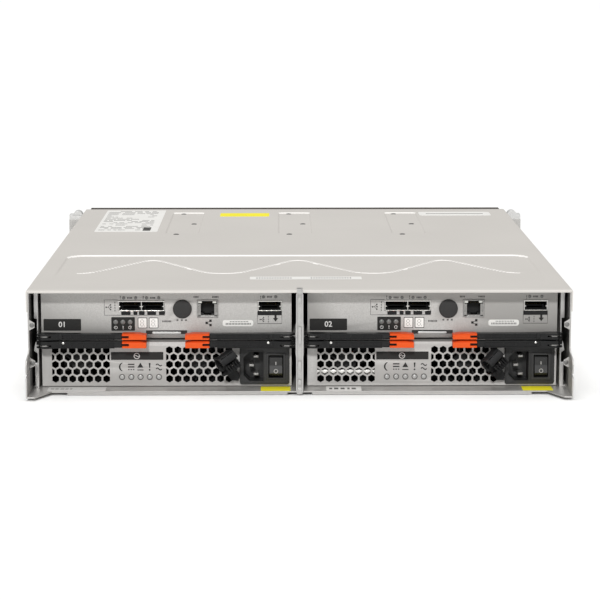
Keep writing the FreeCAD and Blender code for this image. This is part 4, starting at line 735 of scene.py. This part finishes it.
def make_jack(body, face):
    """Network jack: plated shell, stepped black mouth, eight contacts and two lamps."""
    x0, x1, z0, z1 = JACK
    middle, floor = (x0 + x1) / 2, z0 + 3.6
    metal, mouth, pins, lamps = pieces(4, body, face)
    metal.band(rectangle(*JACK), 0.8, "y", -0.8, 17)
    metal.block(x0, x1, 16.5, 17.5, z0, z1)
    metal.block(x0 + 0.7, x0 + 3, -0.5, 0.6, z0 + 0.7, z1 - 3.4)
    metal.block(x1 - 3, x1 - 0.7, -0.5, 0.6, z0 + 0.7, z1 - 3.4)
    for x in (middle - 7.4, middle + 7.4):
        metal.prism([(-1.2, z0 + 5), (-1.2, z0 + 9), (0.5, z0 + 10), (0.5, z0 + 4)], "x", x - 0.5, x + 0.5)
    metal.block(x0 + 0.7, x1 - 0.7, -0.5, 0.6, z0 + 0.7, z0 + 2)
    shell = metal.done("_jack_shell", "port_dark", "port_metal", edge=0.15)
    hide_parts(body + "_ports")
    steps = [(middle - 6.2, floor), (middle - 3.2, floor), (middle - 3.2, floor - 1.4),
             (middle + 3.2, floor - 1.4), (middle + 3.2, floor), (middle + 6.2, floor),
             (middle + 6.2, z1 - 1.6), (middle - 6.2, z1 - 1.6)]
    mouth.prism(steps, "y", 9, 16.6)
    for u0, u1, v0, v1 in ((x0 + 0.7, middle - 5.6, z0 + 2, z1 - 3.8),
                           (middle + 5.6, x1 - 0.7, z0 + 2, z1 - 3.8),
                           (middle - 5.6, middle - 3.2, z0 + 1.8, floor),
                           (middle + 3.2, middle + 5.6, z0 + 1.8, floor),
                           (x0 + 0.7, x1 - 0.7, z1 - 1.7, z1 - 0.7)):
        mouth.block(u0, u1, 0.4, 16.6, v0, v1)
    mouth.done("_jack_mouth", "deep_black", "black_plastic")
    for i in range(8):
        x = middle - 3.6 + i * 1.02
        pins.prism([(3, z1 - 1.8), (9.2, z1 - 4.6), (9.4, z1 - 4.2), (3.4, z1 - 1.5)], "x", x, x + 0.4)
    pins.done("_jack_contacts", "contact_gold", "port_metal", smooth=False)
    for u in (x0 + 0.9, x1 - 4.3):
        lamps.prism(rounded(u, u + 3, z1 - 2.6, z1 - 1, 0.4, 2), "y", -0.55, 0.8)
    lamps.done("_jack_lamps", "lens_lit", "black_plastic")


FIGURE_SIZE, FIGURE_LEAN, FIGURE_BAR, FIGURE_DEPTHS = (2.5, 5.2), 0.07, 0.5, (-0.16, -0.08)
# Both ends of each bar, in halves of the figure's size, and the share cut from each end.
SEGMENTS = ((-1, 1, 1, 1), (1, 1, 1, 0), (1, 0, 1, -1), (1, -1, -1, -1), (-1, -1, -1, 0), (-1, 0, -1, 1),
            (-1, 0, 1, 0))
SEGMENT_TRIM = 0.18


def seven_segments(piece, x, z):
    """All the bars of a seven-segment figure around a middle, and its point."""
    width, height = FIGURE_SIZE

    def place(u, v):
        return (x + u * width / 2 + FIGURE_LEAN * v * height / 2, z + v * height / 2)
    for u0, v0, u1, v1 in SEGMENTS:
        du, dv = (u1 - u0) * SEGMENT_TRIM, (v1 - v0) * SEGMENT_TRIM
        piece.line([place(u0 + du, v0 + dv), place(u1 - du, v1 - dv)], FIGURE_BAR, *FIGURE_DEPTHS)
    dot(piece, *place(1.75, -1), FIGURE_BAR * 0.75, 8, FIGURE_DEPTHS)


def make_display(body, face):
    windows, marks, rims = pieces(3, body, face)
    low, high = DIGIT_FOOT, DIGIT_TOP
    for left, right in DIGITS:
        windows.prism(rounded(left, right, low, high, 0.4, 2), "y", -0.12, 4)
        edge = rounded(left - 0.25, right + 0.25, low - 0.25, high + 0.25, 0.5, 2)
        rims.band(edge, 0.45, "y", -0.22, 0.3)
        seven_segments(marks, (left + right) / 2 - 0.4, (low + high) / 2)
    glass = windows.done("_display_windows", "label_white", "black_plastic")
    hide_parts(body + "_ports")
    marks.done("_display_segments", "label_silver", None, smooth=False)
    rims.done("_display_rims", "ink_dark", None)


def make_plug(body, face):
    """Round blanking plug: domed head on a shank."""
    u, v, radius = PLUG
    dome, tabs = pieces(2, body, face)
    dome.lathe("y", u, v, [
        (radius - 1.2, 3), (radius - 1.2, 0), (radius, 0), (radius, -0.8), (radius - 0.4, -1.3),
        (radius - 1.6, -1.62), (radius * 0.5, -1.78), (0, -1.8)], 48)
    plug = dome.done("_round_plug", "plug_grey", "black_plastic")
    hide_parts(body + "_ports")
    for x in (u - 4, u - 0.4, u + 3):
        tabs.block(x - 0.9, x + 0.7, -0.1, 0.05, v - radius - 2.2, v - radius - 0.9)
    tabs.done("_plug_marks", "ink_grey", None, smooth=False)


def branch_sign(piece, x, z, size):
    """Generic sign of a link that splits in two."""
    for start, end in (((-1, 0), (-0.1, 0)), ((-0.3, 0), (0.5, 0.8)), ((-0.3, 0), (0.5, -0.8))):
        piece.line([(x + size * u, z + size * v) for u, v in (start, end)], 0.35, *INK)
    for u, v in ((-1, 0), (0.6, 0.9), (0.6, -0.9), (0.7, 0)):
        dot(piece, x + u * size, z + v * size, 0.18 * size + 0.25, 10)


def fault_sign(piece, x, z, height, width=0.7):
    piece.prism([(x - width / 2, z + height / 2), (x - width / 4, z - height * 0.12),
                 (x + width / 4, z - height * 0.12), (x + width / 2, z + height / 2)], "y", *INK)
    dot(piece, x, z - height * 0.38, width * 0.5, 10)


STATUS_X, PORT_LAMPS = (-42, -36, -30.1), ((-35.1, 77.7), (-25.2, 77.7), (-16.2, 77.7), (-6.2, 77.7),
                                           (80.3, 78.4), (90.4, 78.4))
# Strokes of the face: points, and width.
STROKES = [([(-39.8, 76), (-51.2, 76), (-51.2, 63.2), (-39.6, 63.2)], 0.38),
           ([(-39.6, 63.2), (-1.2, 63.2), (-1.2, 66.4)], 0.38),
           ([(75.2, 63.2), (75.2, 55.9), (95.4, 55.9), (95.4, 63.2)], 0.38)]
STROKES += [([(-42.4, z), (-42.4, z + 1.4)], 0.6) for z in (66.4, 68.6, 70.8, 73)]
STROKES += [([(84.2, z), (84.2, z + 1.2)], 0.5) for z in (57, 59, 61)]
STROKES += [([(33.2, 56.6), (36.4, z)], 0.35) for z in (58.4, 54.8)]


def make_esm_signs(body, face, number):
    plate, words, lamps, signs, white, ticks, gap, press = pieces(8, body, face)
    plate.prism(rounded(-101.6, -70.6, 50.3, 60.1, 0.6, 2), "y", *PLATE)
    plate.prism(rounded(-45.6, -26.1, 50.2, 61.6, 0.5, 2), "y", *PLATE)
    plate.done("_dark_labels", "label_dark", None)
    words.text(number, -86.1, 55.3, -0.17, size=6.4, depth=0.12, bold=0.10)
    for x, start, end in ((-41.9, 120, (-41.9, 54.4)), (-30.1, 20, (-28.8, 52.9))):
        words.line(circle(x, 52.9, 1.25, 14, start, 300), 0.4, *LIGHT_INK)
        words.line([(x, 52.9), end], 0.4, *LIGHT_INK)
    x = -35.9
    words.prism([(x - 0.35, 54.2), (x + 0.35, 54.2), (x + 0.2, 52.4), (x - 0.2, 52.4)], "y", *LIGHT_INK)
    dot(words, x, 51.7, 0.35, 8, LIGHT_INK)
    words.done("_light_signs", "ink_light", None, smooth=False)
    for x in STATUS_X:
        lamps.lathe("y", x, 57.4, [(1.95, 0), (1.95, -0.3), (1.6, -0.55), (0.8, -0.72), (0, -0.75)], 24)
    for x, z in PORT_LAMPS:
        lamps.lathe("y", x, z, [(1.35, 0), (1.35, -0.25), (0.9, -0.5), (0, -0.58)], 20)
    lamps.done("_lamps", "lens_grey", "black_plastic")
    for x in (-37.9, -19, 77.9):
        fault_sign(signs, x, 77.9, 2.8)
    # A short row of bars stands where the real face has small words: start, height, bars.
    for x0, z, count in ((-32.2, 77.7, 4), (-13.2, 77.7, 4), (83.3, 78.4, 4), (22.6, 78.4, 4),
                         (38, 78.4, 5), (-3.4, 58, 7)):
        for k in range(count):
            signs.block(x0 + k * 1.1, x0 + k * 1.1 + 0.65, *INK, z - 0.75, z + 0.75)
    for points, width in STROKES:
        signs.line(points, width, *INK)
    branch_sign(signs, -47.4, 69.9, 2.2)
    branch_sign(signs, 79.2, 59.4, 1.7)
    signs.prism([(89.3, 63.2), (89.3, 60.6), (88, 60.6), (90.2, 57.6), (92.4, 60.6), (91.1, 60.6),
                 (91.1, 63.2)], "y", *INK)
    for x, z in ((33.2, 56.6), (36.4, 58.4), (36.4, 54.8)):
        signs.block(x - 1, x + 1, *INK, z - 1, z + 1)
    signs.done("_face_signs", "ink_dark", None, smooth=False)
    white.prism(rounded(46.4, 71.8, 53.8, 59, 1.9, 5), "y", *LABEL).done("_white_label", "label_white", None)
    for first, pitch, count, z0, z1 in ((49, 1.24, 17, 55, 56.5), (52.5, 1.3, 12, 57.2, 58.1)):
        for k in range(count):
            ticks.block(first + pitch * k, first + pitch * k + 0.7, -0.16, -0.1, z0, z1)
    ticks.done("_white_label_marks", "ink_grey", None, smooth=False)
    # A flat dark strip on the face stands for the shade in the gap at its foot: painted shade.
    gap.block(-17, 17, -0.2, 0.05, 47.3, 50.4).done("_lower_gap", "ink_dark", None)
    press.prism(rounded(-12, 12, 47.5, 49.3, 0.8, 3), "y", -0.6, 0)
    press.done("_lower_rib", "guide_steel", "canister_steel", edge=0.3)


PSU_LAMPS = [-37.3 + 7.65 * i for i in range(5)]
PSU_SIGN_Z = 19.6


def make_psu_signs(body, face):
    dark, sign, silver, rims, lenses, signs = pieces(6, body, face)
    dark.prism(rounded(-46.3, -2.9, 25.6, 32.2, 0.3, 1), "y", *PLATE).done("_dark_label", "label_dark", None)
    x, z = -24.9, 28.9
    sign.line(circle(x, z, 2.3, 28), 0.42, *LIGHT_INK, closed=True)
    bolt = [(x - 1.9, z + 0.1), (x - 0.2, z + 0.6), (x + 0.2, z - 0.6), (x + 1.9, z - 0.1)]
    sign.line(bolt, 0.42, *LIGHT_INK)
    sign.done("_power_sign", "ink_light", None, smooth=False)
    silver.prism(rounded(-40.6, -3.4, 8.3, 13.9, 2.8, 6), "y", *LABEL)
    silver.done("_lamp_band", "label_silver", None)
    for x in PSU_LAMPS:
        rims.lathe("y", x, 11.1, [(2.5, -0.4), (2.5, 0.02), (1.85, 0.02), (1.85, -0.4)], 28, close=True)
        lenses.lathe("y", x, 11.1, [(1.9, -0.05), (1.8, -0.4), (1.1, -0.75), (0, -0.85)], 24)
    rims.done("_lamp_rims", "ink_grey", "black_plastic")
    lenses.done("_lamp_lenses", "lens_clear", "black_plastic")
    # A moon, a solid line over a broken one, a barred arrow, a fault mark and two waves.
    moon, lines, arrow, fault, waves = PSU_LAMPS
    inner = circle(moon + 2.6, PSU_SIGN_Z, 3.9, 16, 245, -130)
    signs.prism(circle(moon + 1.2, PSU_SIGN_Z, 3.8, 16, 105, 150) + inner[1:-1], "y", *INK)
    for z in (21.8, PSU_SIGN_Z):
        signs.line([(lines - 2.7, z), (lines + 2.7, z)], 1.0, *INK)
    for k in range(3):
        signs.line([(lines - 2.6 + 2 * k, 17.3), (lines - 1.4 + 2 * k, 17.3)], 0.8, *INK)
    signs.line([(arrow - 2.6, 17), (arrow + 2.6, 17)], 0.7, *INK)
    signs.prism([(arrow - 2.6, 19), (arrow + 2.4, 19), (arrow, 23.2)], "y", *INK)
    fault_sign(signs, fault, PSU_SIGN_Z, 6.6, 1.5)
    for z in (21.2, 17.8):
        signs.line([(waves - 2.4 + 0.4 * k, z + 0.8 * math.sin(2 * math.pi * k / 12)) for k in range(13)],
                   0.85, *INK)
    signs.done("_face_signs", "ink_dark", None, smooth=False)


# ---- levers, power inlet, cord clip and inner brace ----
LEVER_REAR = -FACE_TO_PIVOT - 3.5
PIVOT_X, RIVET_X = 86.5, 84.2


def make_lever_trim(body, face):
    """Raised disc over each pivot, ribs along the arm, and ridges on the latch."""
    shift, rear = face[0], LEVER_REAR
    for number, sign in ((1, -1), (2, 1)):
        lever, latch = ("{}_{}_{}".format(body, piece, number) for piece in ("lever", "latch"))
        foot, top = box_mm(lever)[4:]
        arm = Piece(lever, face)
        arm.lathe("y", sign * PIVOT_X, (foot + top) / 2,
                  [(2.1, rear + 1), (2.1, rear - 0.1), (1.7, rear - 0.45), (0, rear - 0.5)], 24)
        for k in range(4):
            x = sign * (78 - 10 * k)
            arm.block(x - 0.5, x + 0.5, rear + 0.2, rear + 1.2, foot + 1, top - 1)
        arm.done("_trim", "black_moulding", "black_plastic", edge=0.2)
        if body.startswith("psu_"):
            pin = Piece(lever, face).lathe("y", sign * RIVET_X, top - 1.2, [
                (1, rear + 0.5), (1, rear - 0.35), (0.6, rear - 0.6), (0, rear - 0.65)], 16)
            pin.done("_rivet", "bright_pin", "bright_steel")
        x0, x1, y0, _, z0, _ = box_mm(latch)
        ridges = Piece(latch, (shift, y0, z0))
        for k in range(3):
            x = (x0 + x1) / 2 - shift - sign * (3.4 - 1.5 * k)
            ridges.prism([(0.3, 1.1), (0, 1.5), (0, 2), (0.3, 2.4)], "x", x - 0.3, x + 0.3)
        ridges.done("_ridges", "latch_orange", "latch_orange")


def make_inner_brace(body, face):
    """Bright brace that shows through the left grille of the right power unit."""
    bar = Piece(body, face)
    bar.prism([(4, 12.4), (4, 16), (5, 16.8), (6.2, 16.8), (6.2, 12.4)], "x", -101.8, -44)
    bar.done("_inner_brace", "bright_pin", "bright_steel", edge=0.3)


BLADES = ((73.9, 27.8), (73.9, 12.8), (70.1, 20.3))
SOCKET_X, SOCKET_Z, SOCKET_KEY, SOCKET_RIM = (63.6, 80.1), (8, 32.6), 5, 0.9
ROCKER_PLACE, ROCKER_LEAN = (90.4, -246.4, 20.15), -9


def make_power_trim(body, face):
    """Blade sleeves in the socket, the rims round it, and the marks on the rocker."""
    mouth = box_mm(body + "_inlet")[2] + 0.8
    sleeves, rims = pieces(2, body, (face[0], mouth, 0))
    for x, z in BLADES:
        sleeves.block(x - 2.05, x + 2.05, 4.4, 15.5, z - 1.05, z + 1.05)
        sleeves.block(x - 1.6, x + 1.6, 3.9, 4.4, z - 0.7, z + 0.7)
    sleeves.done("_blades", "port_dark", "bright_steel", edge=0.25)
    rims.band(rounded(60.9, 101.1, 5.6, 36.5, 1.8, 5), 1.4, "y", -0.25, 0.4)
    (x0, x1), (z0, z1), key = SOCKET_X, SOCKET_Z, SOCKET_KEY
    socket = [(x0, z0 + key), (x0 + key, z0), (x1, z0), (x1, z1), (x0 + key, z1), (x0, z1 - key)]
    outer = [(x + math.copysign(SOCKET_RIM, x - 70), z + math.copysign(SOCKET_RIM, z - 20))
             for x, z in socket]
    rims.hoop(outer, socket, "y", -0.35, 0.2)
    rims.band(rounded(81.9, 98.9, 8.6, 31.7, 0.8, 3), 0.7, "y", -0.35, 0.2)
    rims.done("_inlet_rims", "inlet_black", "black_plastic", edge=0.12)
    x, y, z = ROCKER_PLACE
    marks = Piece(body + "_rocker", (face[0] + x, y, z), Matrix.Rotation(math.radians(ROCKER_LEAN), 4, "X"))

    def on_facet(z):
        return -5.4 - 0.8 * abs(z) / 8.85
    marks.prism(rectangle(-0.35, 0.35, 0.6, 3.2), "y", on_facet(1.9) - 0.25, on_facet(1.9) + 0.6)
    marks.line(circle(0, -4.6, 1.5, 24), 0.55, on_facet(-4.6) - 0.25, on_facet(-4.6) + 0.5, closed=True)
    marks.done("_marks", "label_silver", None, smooth=False)


CLIP_MIDDLE = (50.6, -12, 26)                         # y from the face
CLIP_YAW = 24                                         # left end of the clamp towards the rear
CLIP_TILTS = {"psu_left": 32, "psu_right": 42}
CLIP_RADIUS, CLIP_BORE, CLIP_HALF = 8.4, 6.8, 7.5
CLIP_START, CLIP_SPAN, CLIP_LEAVES, CLIP_SLIT = -35, 215, 5, 4      # degrees, but for the leaves
CLIP_ANCHOR = (57.3, 12)


def make_clip(body, face):
    """Cord clip: slit half-round clamp with a collar, ribbed latch block, foot and toothed strap."""
    clip = body + "_cord_clip"
    x, y, z = CLIP_MIDDLE
    radius, bore, half = CLIP_RADIUS, CLIP_BORE, CLIP_HALF
    turn = Matrix.Rotation(math.radians(-CLIP_TILTS[body]), 4, "Y") \
        @ Matrix.Rotation(math.radians(CLIP_YAW), 4, "Z")
    clamp, bore_shade = (Piece(clip, (face[0] + x, FACE + y, z), turn) for _ in range(2))
    leaf = (CLIP_SPAN - CLIP_SLIT * (CLIP_LEAVES - 1)) / CLIP_LEAVES

    def arc(outer, inner, first, span, sides, x0, x1):
        ring = circle(0, 0, outer, sides, first, span) + circle(0, 0, inner, sides, first + span, -span)
        clamp.prism(ring, "x", x0, x1)
    for k in range(CLIP_LEAVES):
        arc(radius, bore, CLIP_START + k * (leaf + CLIP_SLIT), leaf, 7, -half + 0.6, half - 0.6)
    for x0, x1, proud in ((-half, -half + 1.8, 0.35), (half - 1.4, half, 0.35), (-0.8, 0.6, 0.15)):
        arc(radius + proud, bore + 0.15, CLIP_START, CLIP_SPAN, 30, x0, x1)
    # Latch block under the clamp, with ribs that face the rear.
    clamp.block(-half + 0.6, half - 1, -radius + 1.4, 3, -radius + 0.2, -bore + 1.2)
    for k in range(6):
        rib = -half + 1.2 + 2.3 * k
        clamp.block(rib, rib + 1.1, -radius + 0.2, -radius + 2, -radius + 0.4, -1.6)
    clamp.block(-half - 2.2, -half + 1, -2, 2, -radius + 0.4, -radius + 2.6)
    clamp = clamp.done("_clamp", "soft_black", "black_plastic", edge=0.2)
    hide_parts(clip)
    lower, glint = pieces(2, clip, face)
    ax, az = CLIP_ANCHOR
    lower.lathe("y", ax, az, [(2.6, -0.3), (2.9, -0.8), (2.9, -2.4), (2.6, -3.1)], 20)
    lower.prism([(ax - 3.8, az - 3), (ax + 2.2, az - 3.4), (ax + 2.8, az + 2.6), (x + 3.6, z - 5.2),
                 (x - 4.4, z - 5.4), (x - 3.2, z - 8.4)], "y", -4.8, -3)
    lower.prism([(x - 5, z - 8.6), (x + 3.6, z - 8), (x + 4, z - 3), (x - 3.6, z - 3.6)], "y", -9.5, -3.8)
    for k in range(8):
        u, v = ax + 2.5 - 0.35 * k, az - 1.8 + 1.5 * k
        lower.prism([(u - 0.6, v), (u + 0.55, v + 0.55), (u - 0.6, v + 1.1)], "y", -5.1, -3.2)
    lower.done("_strap", "black_moulding", "black_plastic", edge=0.15)
    # A thin lighter strip on the strap: a painted glint.
    glint.prism([(ax - 5.2, az + 4.2), (ax - 1.6, az + 6.4), (ax - 1.5, az + 6.9), (ax - 5.4, az + 4.7)],
                "y", -4.95, -4.7)
    glint.done("_strap_edge", "stud_steel", None)
    # A near-black disc across the bore darkens the inside of the clamp: painted shade.
    bore_shade.prism(circle(0, 0, bore + 0.2, 20), "x", half - 2.4, half - 1.2)
    bore_shade.done("_pad", "deep_black", "black_plastic")


# ---- middle wall and drives ----
def make_divider_trim():
    """Folded lip, hook and rivets on the rear edge of the middle wall."""
    x0, x1, rear, _, z0, z1 = box_mm("center_divider")
    trim = Piece("chassis", ((x0 + x1) / 2, rear, 0))
    for x in (-2.4, 2.4):
        trim.prism(rounded(x - 0.55, x + 0.55, z0 + 2, z1 - 4, 0.5, 2), "y", -0.45, 0.3)
    for z, tall in ((z0 + 10, 2), (z0 + 24, 3.4), (z0 + 49, 7), (z1 - 9, 2)):
        trim.prism(rounded(-1.3, 1.3, z - tall, z + tall, 0.9, 3), "y", -0.55, 0.3)
    trim.done("divider_trim", "guide_steel", "bright_steel", edge=0.2)


CARRIER_FRONT = FRONT + 12
PLAIN_END, SLOT_RISE, SLOT_HEIGHT, SLOT_PARTS = 22, 1.6, 4.5, 22


def make_drive_trim():
    """Lamps, release button and vent fins of each drive carrier."""
    for name in DRIVES:
        x0, x1, _, _, z0, z1 = box_mm(name)
        middle = (z0 + z1) / 2
        fins, button, lamps = pieces(3, name, (0, CARRIER_FRONT, 0))
        for foot in (z0 + SLOT_RISE, z1 - SLOT_RISE - SLOT_HEIGHT):
            for k in range(1, SLOT_PARTS):
                x = x0 + PLAIN_END + k * (x1 - SLOT_RISE - x0 - PLAIN_END) / SLOT_PARTS
                fins.block(x - 0.35, x + 0.35, -11.5, -1.2, foot - 0.2, foot + SLOT_HEIGHT + 0.2)
        fins.done("_vent_fins", "drive_dark", "drive_black")
        button.prism(rounded(x0 + 15.2, x0 + 19.4, middle - 6.6, middle + 6.6, 1.4, 4), "y", -0.3, 2.4)
        for k in range(4):
            z = middle - 3.6 + 2.4 * k
            button.block(x0 + 15.9, x0 + 18.7, 2.2, 2.8, z - 0.45, z + 0.45)
        button.done("_release", "port_dark", "drive_black", edge=0.3)
        for z in (middle + 4.6, middle - 0.4):
            lamps.lathe("y", x0 + 5, z, [(1.5, -0.1), (1.5, 0.35), (1, 0.7), (0, 0.8)], 20)
        lamps.done("_lamps", "lens_clear", "black_plastic")


def make_modules():
    for number, (side, shift) in enumerate(MODULES, 1):
        esm, psu, face = "esm_" + side, "psu_" + side, (shift, FACE, 0)
        make_serial_ports(esm, face)
        make_jack(esm, face)
        make_display(esm, face)
        make_plug(esm, face)
        make_esm_signs(esm, face, "0" + str(number))
        make_psu_signs(psu, face)
        make_lever_trim(esm, face)
        make_lever_trim(psu, face)
        make_power_trim(psu, face)
        make_clip(psu, face)
        if side == "right":
            make_inner_brace(psu, face)


make_materials()
make_stage()
make_camera()
dress_nodes()
make_cover()
make_fixings()
make_front_lip()
make_cover_labels()
dress_insides()
make_modules()
make_divider_trim()
make_drive_trim()
